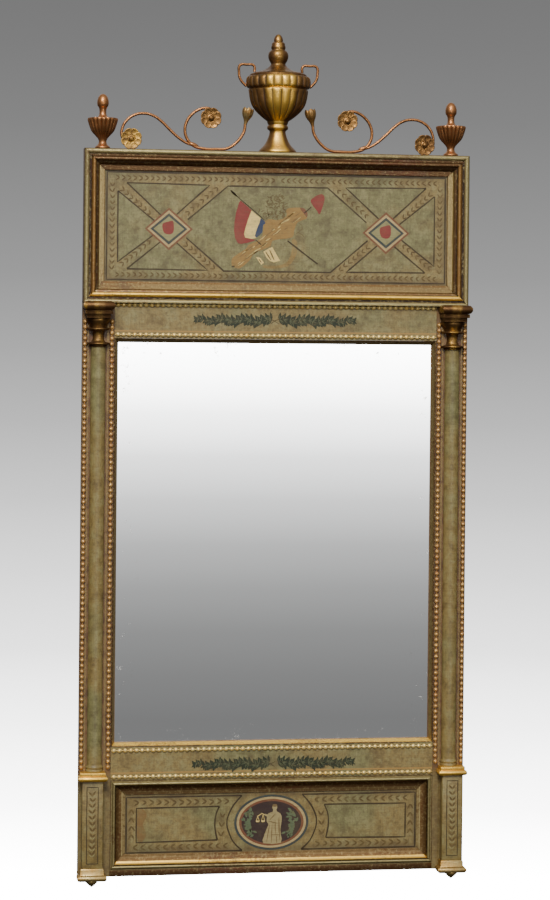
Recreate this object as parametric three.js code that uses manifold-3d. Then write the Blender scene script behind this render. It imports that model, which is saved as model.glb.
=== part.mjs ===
// Trumeau mirror: a tall painted and gilded wall mirror in the neoclassical taste.
// A flat carcass of boards carries two engaged columns on plinths, pearl-bead rows,
// a moulded panel above and one below the glass, and an urn with wire scrolls on top.
//
// Millimetres, +Z up, the front faces -Y and the wall is the plane y = 0.
// Heights are written from the underside of the plinth bases and lowered at the end,
// so that the origin is the centre of the hanging rail's rear face.

import * as THREE from 'three';
import { mergeVertices } from 'three/addons/utils/BufferGeometryUtils.js';
import Module from 'manifold-3d';

const wasm = await Module();
wasm.setup();

// ---------------------------------------------------------------- driving sizes

const GAP = 0.3;                  // between pieces that are glued or seated
const GLAZING_GAP = 0.6;          // round the glass and its backing

// Carcass
const CARCASS_W = 660;            // over the outer edges of the stiles
const STILE_W = 53.7;
const BATTEN_T = 16;              // back frame, against the wall
const BOARD_T = 18;               // stiles and friezes
const BOTTOM_STRIP_H = 12.5;      // plain strip under the lower panel's frame
const BOTTOM_REVEAL = 3.5;        // the boards end this much above the base mouldings

// Heights of the column order; the shaft takes what is left between the plinth and the box
const BASE_H = 22;
const PLINTH_H = 145;
const CAP_H = 10;
const FILLET_H = 5;
const CAPITAL_H = 48;
const ABACUS_H = 29;
const BOX_H = 256;                // the deep moulded panel above the columns

// Mirror opening and the friezes above and below it
const SIGHT_H = 673;
const SIGHT_MOULDING_W = 7;
const LOWER_FRIEZE_H = 55.4;
const UPPER_FRIEZE_H = 61.4;
const GLASS_T = 3;
const BACKING_T = 2.4;

// Columns, from the face of the stile forwards
const COLUMN_OUTSET = 0.4;        // column axis from the middle of the stile
const PLINTH_OUTSET = 4;          // plinth axis from the middle of the stile
const SHAFT_R = 12.6;
const SHAFT_SIDES = 12;
const PLINTH_W = 34.5;
const PLINTH_D = 19;
const DROP_R = 11;
const DROP_H = 10.5;

// Pearl beads
const BEAD_R = 4;
const BEAD_WAIST_R = 1.5;
const BEAD_SIDES = 4;
const SIDE_BEADS = 80;
const FRIEZE_BEADS = 58;
const SIDE_BEAD_INSET = 4.3;      // bead axis from the edge of the stile
const FRIEZE_BEAD_INSET = 5.6;    // bead axis from the edge of the frieze board
const BEAD_END_CLEAR = 1.2;       // between the end of a row and what stops it

// Panels
const BOX_MOULDING_W = 36;
const BOX_FORWARD = 10;           // box front ahead of the stiles
const BOX_RECESS = 17;            // box front to panel face
const BOX_LIP = 6;                // how far the moulding covers the panel's edge
const LOWER_MOULDING_W = 26;
const LOWER_FORWARD = 4;
const LOWER_RECESS = 12;
const LOWER_PANEL_T = 10;
const LOWER_LIP = 8;
const LOWER_DROP = 2;             // top of the lower frame below the top of the plinths

// Back frame, and the screw eyes and rings above the battens
const BATTEN_W = 58;
const BATTEN_INSET = 10;          // from the outer edge of the stile
const BATTEN_FROM_Z = 12;
const BATTEN_LAP = 70;            // up behind the box
const RAIL_H = 70;
const RAIL_DROP = 20;             // below the top of the box
const EYE_INSET = 18;             // from the outer edge of the box
const EYE_RISE = 64;              // above the battens
const EYE_R = 5.2;
const EYE_HOLE_R = 2;
const EYE_T = 3.2;
const EYE_SHANK_R = 1.5;
const EYE_SHANK_L = 9.5;          // inside the moulding
const EYE_SHANK_PLAY = 0.3;
const RING_WIRE_R = 1.7;
const RING_R = 10;                // middle line of the ring's bow
const RING_BOW_DROP = 9.5;        // centre of the bow below the ring's straight bar

// Crest
const FINIAL_INSET = 31;          // from the outer edge of the box
const FINIAL_SETBACK = 5;         // finial axis behind the face of the stiles
const FINIAL_LOBES = 12;
const TENON_R = 4;
const TENON_L = 12;
const TENON_PLAY = 0.3;
const URN_LOBES = 24;
const URN_FOOT_R = 32.6;
const URN_FOOT_H = 53;
const URN_BOWL_H = 78;
const LOBE_DEPTH = 2.4;
const WIRE_R = 2.6;
const WIRE_SIDES = 6;
const HANDLE_R = 2.3;
const SCROLL_PIN_R = 1.5;
const SCROLL_PIN_L = 8;
const ROSETTE_R = 16.8;
const ROSETTE_T = 7;
const ROSETTE_PETALS = 8;

// ---------------------------------------------------------------- derived places

// Distances from the wall
const BOARD_BACK = BATTEN_T + GAP;
const BOARD_FRONT = BOARD_BACK + BOARD_T;
const GLASS_BACK = BOARD_BACK + BACKING_T + GAP;
const GLASS_FRONT = GLASS_BACK + GLASS_T;
const ORDER_BACK = BOARD_FRONT + GAP;
const BOX_FRONT = BOARD_FRONT + BOX_FORWARD;
const PANEL_FACE = BOX_FRONT - BOX_RECESS;

// Widths from the middle line
const HALF_W = CARCASS_W / 2;
const STILE_INNER = HALF_W - STILE_W;
const FILL_HALF = STILE_INNER - GAP;
const SIGHT_W = 2 * (FILL_HALF - SIGHT_MOULDING_W);
const FINIAL_X = HALF_W - FINIAL_INSET;
const EYE_X = HALF_W - EYE_INSET;
const STILE_MIDDLE = HALF_W - STILE_W / 2;
const COLUMN_X = STILE_MIDDLE + COLUMN_OUTSET;
const PLINTH_X = STILE_MIDDLE + PLINTH_OUTSET;

// Heights
const PLINTH_Z = BASE_H;
const CAP_Z = PLINTH_Z + PLINTH_H;
const FILLET_Z = CAP_Z + CAP_H;
const SHAFT_Z = FILLET_Z + FILLET_H;
const LOWER_FRAME_Z = BOTTOM_REVEAL + BOTTOM_STRIP_H;
const LOWER_TOP_Z = CAP_Z - LOWER_DROP;
const LOWER_FRIEZE_Z = LOWER_TOP_Z + GAP;
const LOWER_FRIEZE_TOP = LOWER_FRIEZE_Z + LOWER_FRIEZE_H;
const SIGHT_Z = LOWER_FRIEZE_TOP + GAP + SIGHT_MOULDING_W;
const SIGHT_TOP = SIGHT_Z + SIGHT_H;
const UPPER_FRIEZE_Z = SIGHT_TOP + SIGHT_MOULDING_W + GAP;
const UPPER_FRIEZE_TOP = UPPER_FRIEZE_Z + UPPER_FRIEZE_H;
const BOX_Z = UPPER_FRIEZE_TOP + GAP;
const ABACUS_Z = BOX_Z - ABACUS_H;
const CAPITAL_Z = ABACUS_Z - CAPITAL_H;
const SHAFT_H = CAPITAL_Z - SHAFT_Z;
const TOP_Z = BOX_Z + BOX_H;
const BOX_REBATE = BOX_MOULDING_W - BOX_LIP;
const BATTEN_TO_Z = BOX_Z + BATTEN_LAP;
const EYE_Z = BATTEN_TO_Z + EYE_RISE;
const RAIL_TO_Z = TOP_Z - RAIL_DROP;
const RAIL_FROM_Z = RAIL_TO_Z - RAIL_H;
const ORIGIN_Z = (RAIL_FROM_Z + RAIL_TO_Z) / 2;

// ---------------------------------------------------------------- materials

const finish = (color, roughness, metalness) => ({ color, roughness, metalness });
const PAINT = finish(0x95916a, 0.7, 0);
const GILT = finish(0x8a6f3e, 0.45, 0.5);
const BRIGHT_GILT = finish(0xc79a4e, 0.35, 0.8);
const COPPERY = finish(0xa5693f, 0.4, 0.8);
const BARE_WOOD = finish(0x8a6844, 0.8, 0);
const MIRROR = finish(0xd9dbdc, 0.04, 1);
const CARD = finish(0x6d563c, 0.9, 0);
const STEEL = finish(0x8d8a83, 0.4, 1);

// ---------------------------------------------------------------- shape helpers

// One closed body with its shared corners merged and no collapsed triangles.
function closed(source) {
  const bare = source.index ? source.toNonIndexed() : source.clone();
  for (const name of Object.keys(bare.attributes)) {
    if (name !== 'position') bare.deleteAttribute(name);
  }
  const merged = mergeVertices(bare, 1e-4);
  const index = merged.index.array;
  const kept = [];
  for (let i = 0; i < index.length; i += 3) {
    const [a, b, c] = [index[i], index[i + 1], index[i + 2]];
    if (a !== b && b !== c && c !== a) kept.push(a, b, c);
  }
  merged.setIndex(kept);
  return merged;
}

function solid(geometry) {
  const body = closed(geometry);
  const vertProperties = new Float32Array(body.attributes.position.array);
  const triVerts = new Uint32Array(body.index.array);
  const made = new wasm.Manifold(new wasm.Mesh({ numProp: 3, vertProperties, triVerts }));
  if (made.volume() > 0) return made;
  const flipped = triVerts.slice();
  for (let i = 0; i < flipped.length; i += 3) {
    [flipped[i + 1], flipped[i + 2]] = [flipped[i + 2], flipped[i + 1]];
  }
  return new wasm.Manifold(new wasm.Mesh({ numProp: 3, vertProperties, triVerts: flipped }));
}

function geometryOf(manifold) {
  const mesh = manifold.getMesh();
  const geometry = new THREE.BufferGeometry();
  geometry.setAttribute('position', new THREE.BufferAttribute(mesh.vertProperties, 3));
  geometry.setIndex(new THREE.BufferAttribute(mesh.triVerts, 1));
  return geometry;
}

const cut = (body, ...tools) => {
  return geometryOf(tools.reduce((left, tool) => left.subtract(solid(tool)), solid(body)));
};
const joined = (first, ...rest) => {
  return geometryOf(rest.reduce((sum, piece) => sum.add(solid(piece)), solid(first)));
};
const common = (a, b) => geometryOf(solid(a).intersect(solid(b)));
const outward = (geometry) => geometryOf(solid(geometry));

// A board between two values in each direction: x, distance from the wall, height.
function board([x0, x1], [d0, d1], [z0, z1]) {
  const geometry = new THREE.BoxGeometry(x1 - x0, d1 - d0, z1 - z0);
  return geometry.translate((x0 + x1) / 2, -(d0 + d1) / 2, (z0 + z1) / 2);
}

const both = (x0, x1, side) => (side < 0 ? [-x1, -x0] : [x0, x1]);

function rod(radius, length, sides) {
  return new THREE.CylinderGeometry(radius, radius, length, sides);
}

// A full turning about Z from [radius, height] pairs that start and end on the axis.
function turned(profile, segments) {
  const points = profile.map(([r, z]) => new THREE.Vector2(r, z));
  return new THREE.LatheGeometry(points, segments).rotateX(Math.PI / 2);
}

// A turning whose radius is drawn in between its lobes, from height low to high.
function lobed(profile, lobes, low, high, depth) {
  const geometry = closed(turned(profile, lobes * 2));
  const position = geometry.attributes.position;
  for (let i = 0; i < position.count; i++) {
    const [x, y, z] = [position.getX(i), position.getY(i), position.getZ(i)];
    const radius = Math.hypot(x, y);
    const step = Math.round((Math.atan2(y, x) / Math.PI) * lobes);
    if (radius > depth && z > low && z < high && step % 2 !== 0) {
      const scale = (radius - depth) / radius;
      position.setXYZ(i, x * scale, y * scale, z);
    }
  }
  return geometry;
}

// The front half of a turning, flat at the back.
function halfOf(geometry) {
  const size = CARCASS_W;
  const behind = new THREE.BoxGeometry(size, size, 4 * size).translate(0, size / 2, 0);
  return cut(geometry, behind);
}

// A wire of round section through hand-placed points.
function wire(points, radius, sides, steps) {
  const section = new THREE.Shape();
  for (let i = 0; i < sides; i++) {
    const angle = (i / sides) * 2 * Math.PI;
    const [x, y] = [radius * Math.cos(angle), radius * Math.sin(angle)];
    if (i === 0) section.moveTo(x, y);
    else section.lineTo(x, y);
  }
  const path = new THREE.CatmullRomCurve3(points.map((p) => new THREE.Vector3(...p)), false, 'centripetal');
  return new THREE.ExtrudeGeometry(section, { steps, extrudePath: path, bevelEnabled: false });
}

// Four mitred mouldings round a rectangle. The profile is drawn from the outer edge
// inwards and from the wall side forwards; back is the profile's distance from the wall.
function mitredFrame(profile, width, height, middleZ, back) {
  const side = (length, offset, angle) => {
    const options = { depth: length, steps: 1, bevelEnabled: false, curveSegments: 5 };
    const geometry = new THREE.ExtrudeGeometry(profile, options);
    const position = geometry.attributes.position;
    for (let i = 0; i < position.count; i++) {
      const inset = position.getX(i) + GAP / Math.SQRT2;
      const along = position.getZ(i);
      position.setZ(i, along < length / 2 ? along + inset : along - inset);
    }
    geometry.translate(0, 0, -length / 2);
    geometry.applyMatrix4(new THREE.Matrix4().set(0, 0, 1, 0, 0, -1, 0, 0, 1, 0, 0, 0, 0, 0, 0, 1));
    return geometry.translate(0, -back, -offset).rotateY(angle).translate(0, 0, middleZ);
  };
  return {
    bottom: side(width, height / 2, 0),
    top: side(width, height / 2, Math.PI),
    left: side(height, width / 2, Math.PI / 2),
    right: side(height, width / 2, -Math.PI / 2),
  };
}

// A moulding that returns round the front and both ends of a block, from rows of
// [height, half width, projection].
function returned(rows) {
  const reach = Math.max(...rows.map(([, half, depth]) => Math.max(half, depth))) * 2;
  const front = new THREE.Shape();
  front.moveTo(0, rows[0][0]);
  rows.forEach(([z, , depth]) => front.lineTo(depth, z));
  front.lineTo(0, rows.at(-1)[0]);
  const across = new THREE.Shape();
  rows.forEach(([z, half], i) => (i === 0 ? across.moveTo(half, z) : across.lineTo(half, z)));
  [...rows].reverse().forEach(([z, half]) => across.lineTo(-half, z));
  const flat = { steps: 1, bevelEnabled: false };
  const along = new THREE.ExtrudeGeometry(front, { ...flat, depth: 2 * reach }).translate(0, 0, -reach);
  along.applyMatrix4(new THREE.Matrix4().set(0, 0, 1, 0, -1, 0, 0, 0, 0, 1, 0, 0, 0, 0, 0, 1));
  const through = new THREE.ExtrudeGeometry(across, { ...flat, depth: 2 * reach }).translate(0, 0, -reach);
  through.rotateX(Math.PI / 2);
  return common(outward(along), outward(through));
}

// Rows of a half-round edge between two heights.
function nose(z0, z1, half, depth, steps = 5) {
  const radius = (z1 - z0) / 2;
  return Array.from({ length: steps + 1 }, (_, i) => {
    const angle = -Math.PI / 2 + (i / steps) * Math.PI;
    const inset = radius * (1 - Math.cos(angle));
    return [z0 + radius * (1 + Math.sin(angle)), half - inset, depth - inset];
  });
}

// ---------------------------------------------------------------- the scene graph

const mirror = new THREE.Group();
mirror.position.z = -ORIGIN_Z;

function add(name, geometry, look) {
  const mesh = new THREE.Mesh(geometry, new THREE.MeshStandardMaterial(look));
  mesh.name = name;
  mirror.add(mesh);
  return mesh;
}

const SIDES = [['left', -1], ['right', 1]];

// ---------------------------------------------------------------- carcass boards

function addCarcass() {
  for (const [side, sign] of SIDES) {
    const heights = [BOTTOM_REVEAL, UPPER_FRIEZE_TOP];
    add(`stile_${side}`, board(both(STILE_INNER, HALF_W, sign), [BOARD_BACK, BOARD_FRONT], heights), GILT);
  }
  const fill = (z0, z1) => board([-FILL_HALF, FILL_HALF], [BOARD_BACK, BOARD_FRONT], [z0, z1]);
  add('upper_frieze_board', fill(UPPER_FRIEZE_Z, UPPER_FRIEZE_TOP), PAINT);
  add('lower_frieze_board', fill(LOWER_FRIEZE_Z, LOWER_FRIEZE_TOP), PAINT);
}

// ---------------------------------------------------------------- glass and its frame

const SIGHT_FACE = 1.2;           // flat part of the sight moulding's face
const SIGHT_EDGE = 1.2;           // thickness at the glass

function addGlazing() {
  const depth = BOARD_FRONT - GLASS_FRONT - GAP;
  const profile = new THREE.Shape();
  profile.moveTo(0, 0);
  profile.lineTo(SIGHT_MOULDING_W, 0);
  profile.lineTo(SIGHT_MOULDING_W, SIGHT_EDGE);
  profile.lineTo(SIGHT_FACE, depth);
  profile.lineTo(0, depth);
  const outerW = SIGHT_W + 2 * SIGHT_MOULDING_W;
  const outerH = SIGHT_H + 2 * SIGHT_MOULDING_W;
  const middle = SIGHT_Z + SIGHT_H / 2;
  const sides = mitredFrame(profile, outerW, outerH, middle, GLASS_FRONT + GAP);
  for (const [side, geometry] of Object.entries(sides)) add(`sight_moulding_${side}`, geometry, GILT);

  const halfW = STILE_INNER - GLAZING_GAP;
  const heights = [LOWER_FRIEZE_TOP + GLAZING_GAP, UPPER_FRIEZE_Z - GLAZING_GAP];
  add('mirror_glass', board([-halfW, halfW], [GLASS_BACK, GLASS_FRONT], heights), MIRROR);
  add('backing_board', board([-halfW, halfW], [BOARD_BACK, BOARD_BACK + BACKING_T], heights), CARD);
}

// ---------------------------------------------------------------- the two moulded panels

// Outer roll, quirk, bead, cove and fillet of the deep box above the columns.
function boxProfile() {
  const front = BOX_FRONT - BOARD_BACK;
  const panel = front - BOX_RECESS;
  const roll = 6.4;
  const quirk = 3.4;
  const beadFrom = 10.4;
  const beadTo = 16.6;
  const coveFrom = 20;
  const coveTo = 29;
  const fillet = panel + 2.6;
  const shape = new THREE.Shape();
  shape.moveTo(0, 0);
  shape.lineTo(BOX_REBATE, 0);
  shape.lineTo(BOX_REBATE, panel + GAP);
  shape.lineTo(BOX_MOULDING_W, panel + GAP);
  shape.lineTo(BOX_MOULDING_W, fillet - 1);
  shape.lineTo(BOX_MOULDING_W - 1, fillet);
  shape.lineTo(coveTo, fillet);
  shape.quadraticCurveTo(coveTo - 2, front - quirk - 5, coveFrom, front - quirk - 3);
  shape.lineTo(beadTo, front - quirk - 2);
  shape.quadraticCurveTo(beadTo, front - 0.4, (beadFrom + beadTo) / 2, front - 0.4);
  shape.quadraticCurveTo(beadFrom, front - 0.4, beadFrom, front - quirk);
  shape.lineTo(roll, front - quirk);
  shape.quadraticCurveTo(roll, front, roll / 2, front);
  shape.quadraticCurveTo(0, front, 0, front - quirk);
  return shape;
}

// Flush strip, roll, cove and fillet of the frame below the glass.
function lowerProfile() {
  const face = BOARD_T;
  const front = BOARD_T + LOWER_FORWARD;
  const panel = front - LOWER_RECESS;
  const rollFrom = 3;
  const rollTo = 8.6;
  const coveTo = LOWER_MOULDING_W - 4.5;
  const fillet = panel + 1.8;
  const shape = new THREE.Shape();
  shape.moveTo(0, 0);
  shape.lineTo(LOWER_MOULDING_W - LOWER_LIP, 0);
  shape.lineTo(LOWER_MOULDING_W - LOWER_LIP, panel + GAP);
  shape.lineTo(LOWER_MOULDING_W, panel + GAP);
  shape.lineTo(LOWER_MOULDING_W, fillet);
  shape.lineTo(coveTo, fillet);
  shape.quadraticCurveTo(rollTo + 4, fillet + 1, rollTo, front - 3);
  shape.quadraticCurveTo(rollTo, front, (rollFrom + rollTo) / 2, front);
  shape.quadraticCurveTo(rollFrom, front, rollFrom, face);
  shape.lineTo(0, face);
  return shape;
}

function pegHole(x, distance, radius, length) {
  const hole = rod(radius + TENON_PLAY, 2 * (length + GAP), 12).rotateX(Math.PI / 2);
  return hole.translate(x, -distance, TOP_Z);
}

function addUpperPanel() {
  const sides = mitredFrame(boxProfile(), CARCASS_W, BOX_H, BOX_Z + BOX_H / 2, BOARD_BACK);
  const pegs = [pegHole(0, URN_PEG_D, TENON_R, TENON_L)];
  for (const [, sign] of SIDES) {
    pegs.push(pegHole(sign * FINIAL_X, FINIAL_D, TENON_R, TENON_L));
    pegs.push(pegHole(sign * SCROLL_PIN_X, CREST_D, SCROLL_PIN_R, SCROLL_PIN_L));
  }
  sides.top = cut(sides.top, ...pegs);
  for (const [side, sign] of SIDES) {
    const bore = rod(EYE_SHANK_R + EYE_SHANK_PLAY, 2 * (EYE_SHANK_L + GAP), 12);
    sides[side] = cut(sides[side], bore.translate(sign * EYE_X, -BOARD_BACK, EYE_Z));
  }
  for (const [side, geometry] of Object.entries(sides)) add(`box_moulding_${side}`, geometry, GILT);

  const edge = BOX_REBATE + GAP;
  const halfW = HALF_W - edge;
  add('upper_panel', board([-halfW, halfW], [BOARD_BACK, PANEL_FACE], [BOX_Z + edge, TOP_Z - edge]), PAINT);
}

function addLowerPanel() {
  const height = LOWER_TOP_Z - LOWER_FRAME_Z;
  const middle = (LOWER_TOP_Z + LOWER_FRAME_Z) / 2;
  const sides = mitredFrame(lowerProfile(), 2 * FILL_HALF, height, middle, BOARD_BACK);
  // The bottom member also carries the plain strip, clear of the side members' ends.
  const overlap = 1;
  const strip = (halfW, top) => board([-halfW, halfW], [BOARD_BACK, BOARD_FRONT], [BOTTOM_REVEAL, top]);
  const under = strip(FILL_HALF, LOWER_FRAME_Z - GAP);
  sides.bottom = joined(sides.bottom, under, strip(FILL_HALF - 2 * overlap, LOWER_FRAME_Z + overlap));
  for (const [side, geometry] of Object.entries(sides)) add(`panel_moulding_${side}`, geometry, GILT);
  const edge = LOWER_MOULDING_W - LOWER_LIP + GAP;
  const halfW = FILL_HALF - edge;
  const face = BOARD_FRONT + LOWER_FORWARD - LOWER_RECESS;
  const heights = [LOWER_FRAME_Z + edge, LOWER_TOP_Z - edge];
  add('lower_panel', board([-halfW, halfW], [face - LOWER_PANEL_T, face], heights), PAINT);
}

// ---------------------------------------------------------------- pearl-bead rows

// A standing row of half beads with a flat back, from height 0 to its length.
function beadRow(count, length) {
  const pitch = length / count;
  const profile = [[0, 0], [BEAD_WAIST_R, 0]];
  for (let i = 0; i < count; i++) {
    profile.push([BEAD_R, (i + 0.5) * pitch], [BEAD_WAIST_R, (i + 1) * pitch]);
  }
  profile.push([0, length]);
  return halfOf(turned(profile, BEAD_SIDES));
}

function addBeads() {
  const low = SHAFT_Z + BEAD_END_CLEAR;
  const high = ABACUS_Z - BEAD_END_CLEAR;
  const standing = beadRow(SIDE_BEADS, high - low);
  const outer = HALF_W - SIDE_BEAD_INSET;
  const inner = STILE_INNER + SIDE_BEAD_INSET;
  for (const [side, sign] of SIDES) {
    add(`beads_${side}_outer`, standing, BRIGHT_GILT).position.set(sign * outer, -ORDER_BACK, low);
    add(`beads_${side}_inner`, standing, BRIGHT_GILT).position.set(sign * inner, -ORDER_BACK, low);
  }
  const half = inner - BEAD_R - BEAD_END_CLEAR;
  const lying = beadRow(FRIEZE_BEADS, 2 * half).rotateY(Math.PI / 2);
  const heights = {
    upper_frieze_top: UPPER_FRIEZE_TOP - FRIEZE_BEAD_INSET,
    upper_frieze_bottom: UPPER_FRIEZE_Z + FRIEZE_BEAD_INSET,
    lower_frieze_top: LOWER_FRIEZE_TOP - FRIEZE_BEAD_INSET,
    lower_frieze_bottom: LOWER_FRIEZE_Z + FRIEZE_BEAD_INSET,
  };
  for (const [name, z] of Object.entries(heights)) {
    add(`beads_${name}`, lying, BRIGHT_GILT).position.set(-half, -ORDER_BACK, z);
  }
}

// ---------------------------------------------------------------- the column order

// [radius, height above the shaft's top]
const CAPITAL_PROFILE = [
  [0, 0], [13.4, 0], [14.4, 1.5], [13.4, 3], [19.2, 3.2], [20.2, 5.2], [19.2, 7.2],
  [12.5, 8], [9.6, 11], [9, 20], [10.6, 27], [19.4, 28], [20, 30], [19.4, 32],
  [14.2, 33.2], [16.5, 37], [20, 41], [21.5, 45.5], [20.5, CAPITAL_H - GAP], [0, CAPITAL_H - GAP],
];

function shaftGeometry() {
  const ring = 3.2;
  const ringH = 8;
  const height = SHAFT_H - GAP;
  const profile = [
    [0, 0], [SHAFT_R + ring / 2, 0], [SHAFT_R + ring / 2, ringH / 2], [SHAFT_R, ringH],
    [SHAFT_R, height], [0, height],
  ];
  return halfOf(turned(profile, SHAFT_SIDES * 2));
}

function abacusGeometry() {
  const stepA = 7;
  const stepB = 13;
  return returned([
    [0, 20, 24], [stepA, 20, 24], [stepA, 23, 30], [stepB, 23, 30],
    ...nose(stepB, ABACUS_H - GAP, 26.5, 40),
  ]);
}

function plinthCapGeometry() {
  return returned([
    ...nose(0, CAP_H - 0.5, 24.5, 26),
    [CAP_H - 0.5, 21, 22], [CAP_H + FILLET_H - GAP, 21, 22],
  ]);
}

// The base moulding with the turned drop under it.
function plinthBaseGeometry() {
  const lower = 11;
  const moulding = returned([
    ...nose(0, lower, 25, 25), [lower, 20.5, 22], [lower + 1.5, 19.5, 21], [BASE_H - 3, 19.5, 21],
    [BASE_H - GAP, 18.5, 20],
  ]);
  const drop = turned([
    [0, -DROP_H], [DROP_R * 0.45, -DROP_H * 0.66], [DROP_R * 0.85, -DROP_H * 0.25],
    [DROP_R, 0], [DROP_R, 2], [0, 2],
  ], 16);
  return joined(moulding, outward(drop).translate(0, -DROP_R - 1.5, 0));
}

function addColumns() {
  const shaft = shaftGeometry();
  const capital = halfOf(turned(CAPITAL_PROFILE, 20));
  const beadX = [HALF_W - SIDE_BEAD_INSET, STILE_INNER + SIDE_BEAD_INSET];
  const abacus = abacusGeometry();
  const cap = plinthCapGeometry();
  const base = plinthBaseGeometry();
  for (const [side, sign] of SIDES) {
    const at = (x, z) => [sign * x, -ORDER_BACK, z];
    add(`column_shaft_${side}`, shaft, PAINT).position.set(...at(COLUMN_X, SHAFT_Z));
    const channels = beadX.map((x) => {
      const channel = rod(BEAD_R + GAP, 3 * CAPITAL_H, 12).rotateX(Math.PI / 2);
      return channel.translate(sign * (x - COLUMN_X), 0, CAPITAL_H / 2);
    });
    add(`capital_${side}`, cut(capital, ...channels), GILT).position.set(...at(COLUMN_X, CAPITAL_Z));
    add(`abacus_${side}`, abacus, BRIGHT_GILT).position.set(...at(COLUMN_X + 1, ABACUS_Z));
    add(`plinth_cap_${side}`, cap, BRIGHT_GILT).position.set(...at(PLINTH_X, CAP_Z));
    add(`plinth_base_${side}`, base, BRIGHT_GILT).position.set(...at(PLINTH_X, 0));
    const block = [ORDER_BACK, ORDER_BACK + PLINTH_D];
    const half = PLINTH_W / 2;
    const plinth = board(both(PLINTH_X - half, PLINTH_X + half, sign), block, [PLINTH_Z, CAP_Z - GAP]);
    add(`plinth_${side}`, plinth, PAINT);
  }
}

// ---------------------------------------------------------------- crest

const FINIAL_D = BOARD_FRONT - FINIAL_SETBACK;
const URN_D = BOARD_BACK;                                   // its flat back
const URN_FLATNESS = (BOX_FRONT - BOARD_BACK) / URN_FOOT_R; // depth against half width
const URN_PEG_D = URN_D + 12;
const CREST_D = URN_PEG_D + 4;

// [radius, height above the box]
const FINIAL_PROFILE = [
  [0, GAP], [12.8, GAP], [12.4, 3], [7.5, 7], [6.3, 11.5], [7, 15.5], [11.9, 22.8], [18.6, 28], [21.6, 34],
  [24.6, 43], [25.8, 50.2], [21, 50.6], [7.4, 53], [5.6, 60], [5.8, 66], [9, 71.4], [9.6, 76],
  [8.6, 84], [5, 89.4], [0, 91.6],
];
const FLUTED_FROM = 22;
const FLUTED_TO = 50.4;

function addFinials() {
  const body = lobed(FINIAL_PROFILE, FINIAL_LOBES, FLUTED_FROM, FLUTED_TO, LOBE_DEPTH / 2);
  const tenon = rod(TENON_R, TENON_L + 1, 12).rotateX(Math.PI / 2).translate(0, 0, 1 - (TENON_L + 1) / 2);
  const finial = joined(body, tenon);
  for (const [side, sign] of SIDES) {
    add(`corner_finial_${side}`, finial, GILT).position.set(sign * FINIAL_X, -FINIAL_D, TOP_Z);
  }
}

const URN_FOOT_PROFILE = [
  [0, GAP], [URN_FOOT_R, GAP], [URN_FOOT_R - 0.6, 3], [26, 9], [19.7, 17.5], [15.4, 27], [13.6, 36],
  [17.5, 39.5], [17.8, 44], [17, 50], [18.4, URN_FOOT_H], [0, URN_FOOT_H],
];
const URN_RIM_Z = URN_BOWL_H - 1.5;                         // the lid's seat in the bowl
// [radius, height above the bowl's seat]
const URN_BOWL_PROFILE = [
  [0, 0], [18.5, 0], [27, 5.5], [34.9, 12.6], [42, 20], [47.1, 28], [50.4, 40], [51.6, 52.6],
  [50, 55], [54.6, 56], [56, 60], [56, 71], [54.4, 74.5], [50, URN_RIM_Z], [0, URN_RIM_Z],
];
// [radius, height above the bowl's rim]
const URN_LID_PROFILE = [
  [0, 0], [49, 0], [47.4, 3.4], [41.7, 5.6], [27, 9.5], [16, 15.5], [12.2, 20.5], [12.4, 22.5], [15.6, 27],
  [17.4, 35.5], [15, 42], [11.6, 45], [11.4, 54], [11, 57], [7.6, 58.6], [7.2, 64.5], [4.4, 70], [0, 72],
];

function addUrn() {
  const footTenon = rod(TENON_R, TENON_L + 1, 12).rotateX(Math.PI / 2);
  footTenon.translate(0, URN_D - URN_PEG_D, 1 - (TENON_L + 1) / 2);
  const flattened = (body) => halfOf(body).scale(1, URN_FLATNESS, 1);
  const foot = joined(flattened(turned(URN_FOOT_PROFILE, 32)), footTenon);
  const bowl = flattened(lobed(URN_BOWL_PROFILE, URN_LOBES, 1, URN_BOWL_H - 2, LOBE_DEPTH));
  const lid = flattened(turned(URN_LID_PROFILE, 28));
  const bowlZ = TOP_Z + URN_FOOT_H + GAP;
  const lidZ = bowlZ + URN_RIM_Z + GAP;
  add('urn_foot', foot, BRIGHT_GILT).position.set(0, -URN_D, TOP_Z);
  add('urn_bowl', bowl, BRIGHT_GILT).position.set(0, -URN_D, bowlZ);
  add('urn_lid', lid, GILT).position.set(0, -URN_D, lidZ);

  // Square loop from the lid's shoulder out and back down to the bowl's band, [x, height
  // above the lid's seat].
  const loop = [
    [41.2, 6.9], [41.2, 14.9], [44.5, 18.5], [54, 18.9], [63.5, 18.5], [67.4, 14.9],
    [67.6, 5.9], [67, -2.6], [63.4, -8.6], [58.5, -13.5],
  ];
  for (const [side, sign] of SIDES) {
    const points = loop.map(([x, z]) => [sign * x, 0, z]);
    const handle = outward(wire(points, HANDLE_R, WIRE_SIDES, 20));
    add(`urn_handle_${side}`, handle, COPPERY).position.set(0, -HANDLE_D, lidZ);
  }
}

const HANDLE_D = URN_D + HANDLE_R;

// The flower that the scroll ends in: [radius, height above its stalk].
const BELL_PROFILE = [
  [0, 0], [2.4, 0], [5.4, 3.5], [6.6, 8], [5.2, 12.5], [5.6, 17], [8.2, 25], [8.9, 31],
  [7, 32.6], [3, 31], [0, 30.4],
];
const BELL_X = 58;
const BELL_Z = 45.5;
const BELL_TILT = 0.1;

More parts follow.
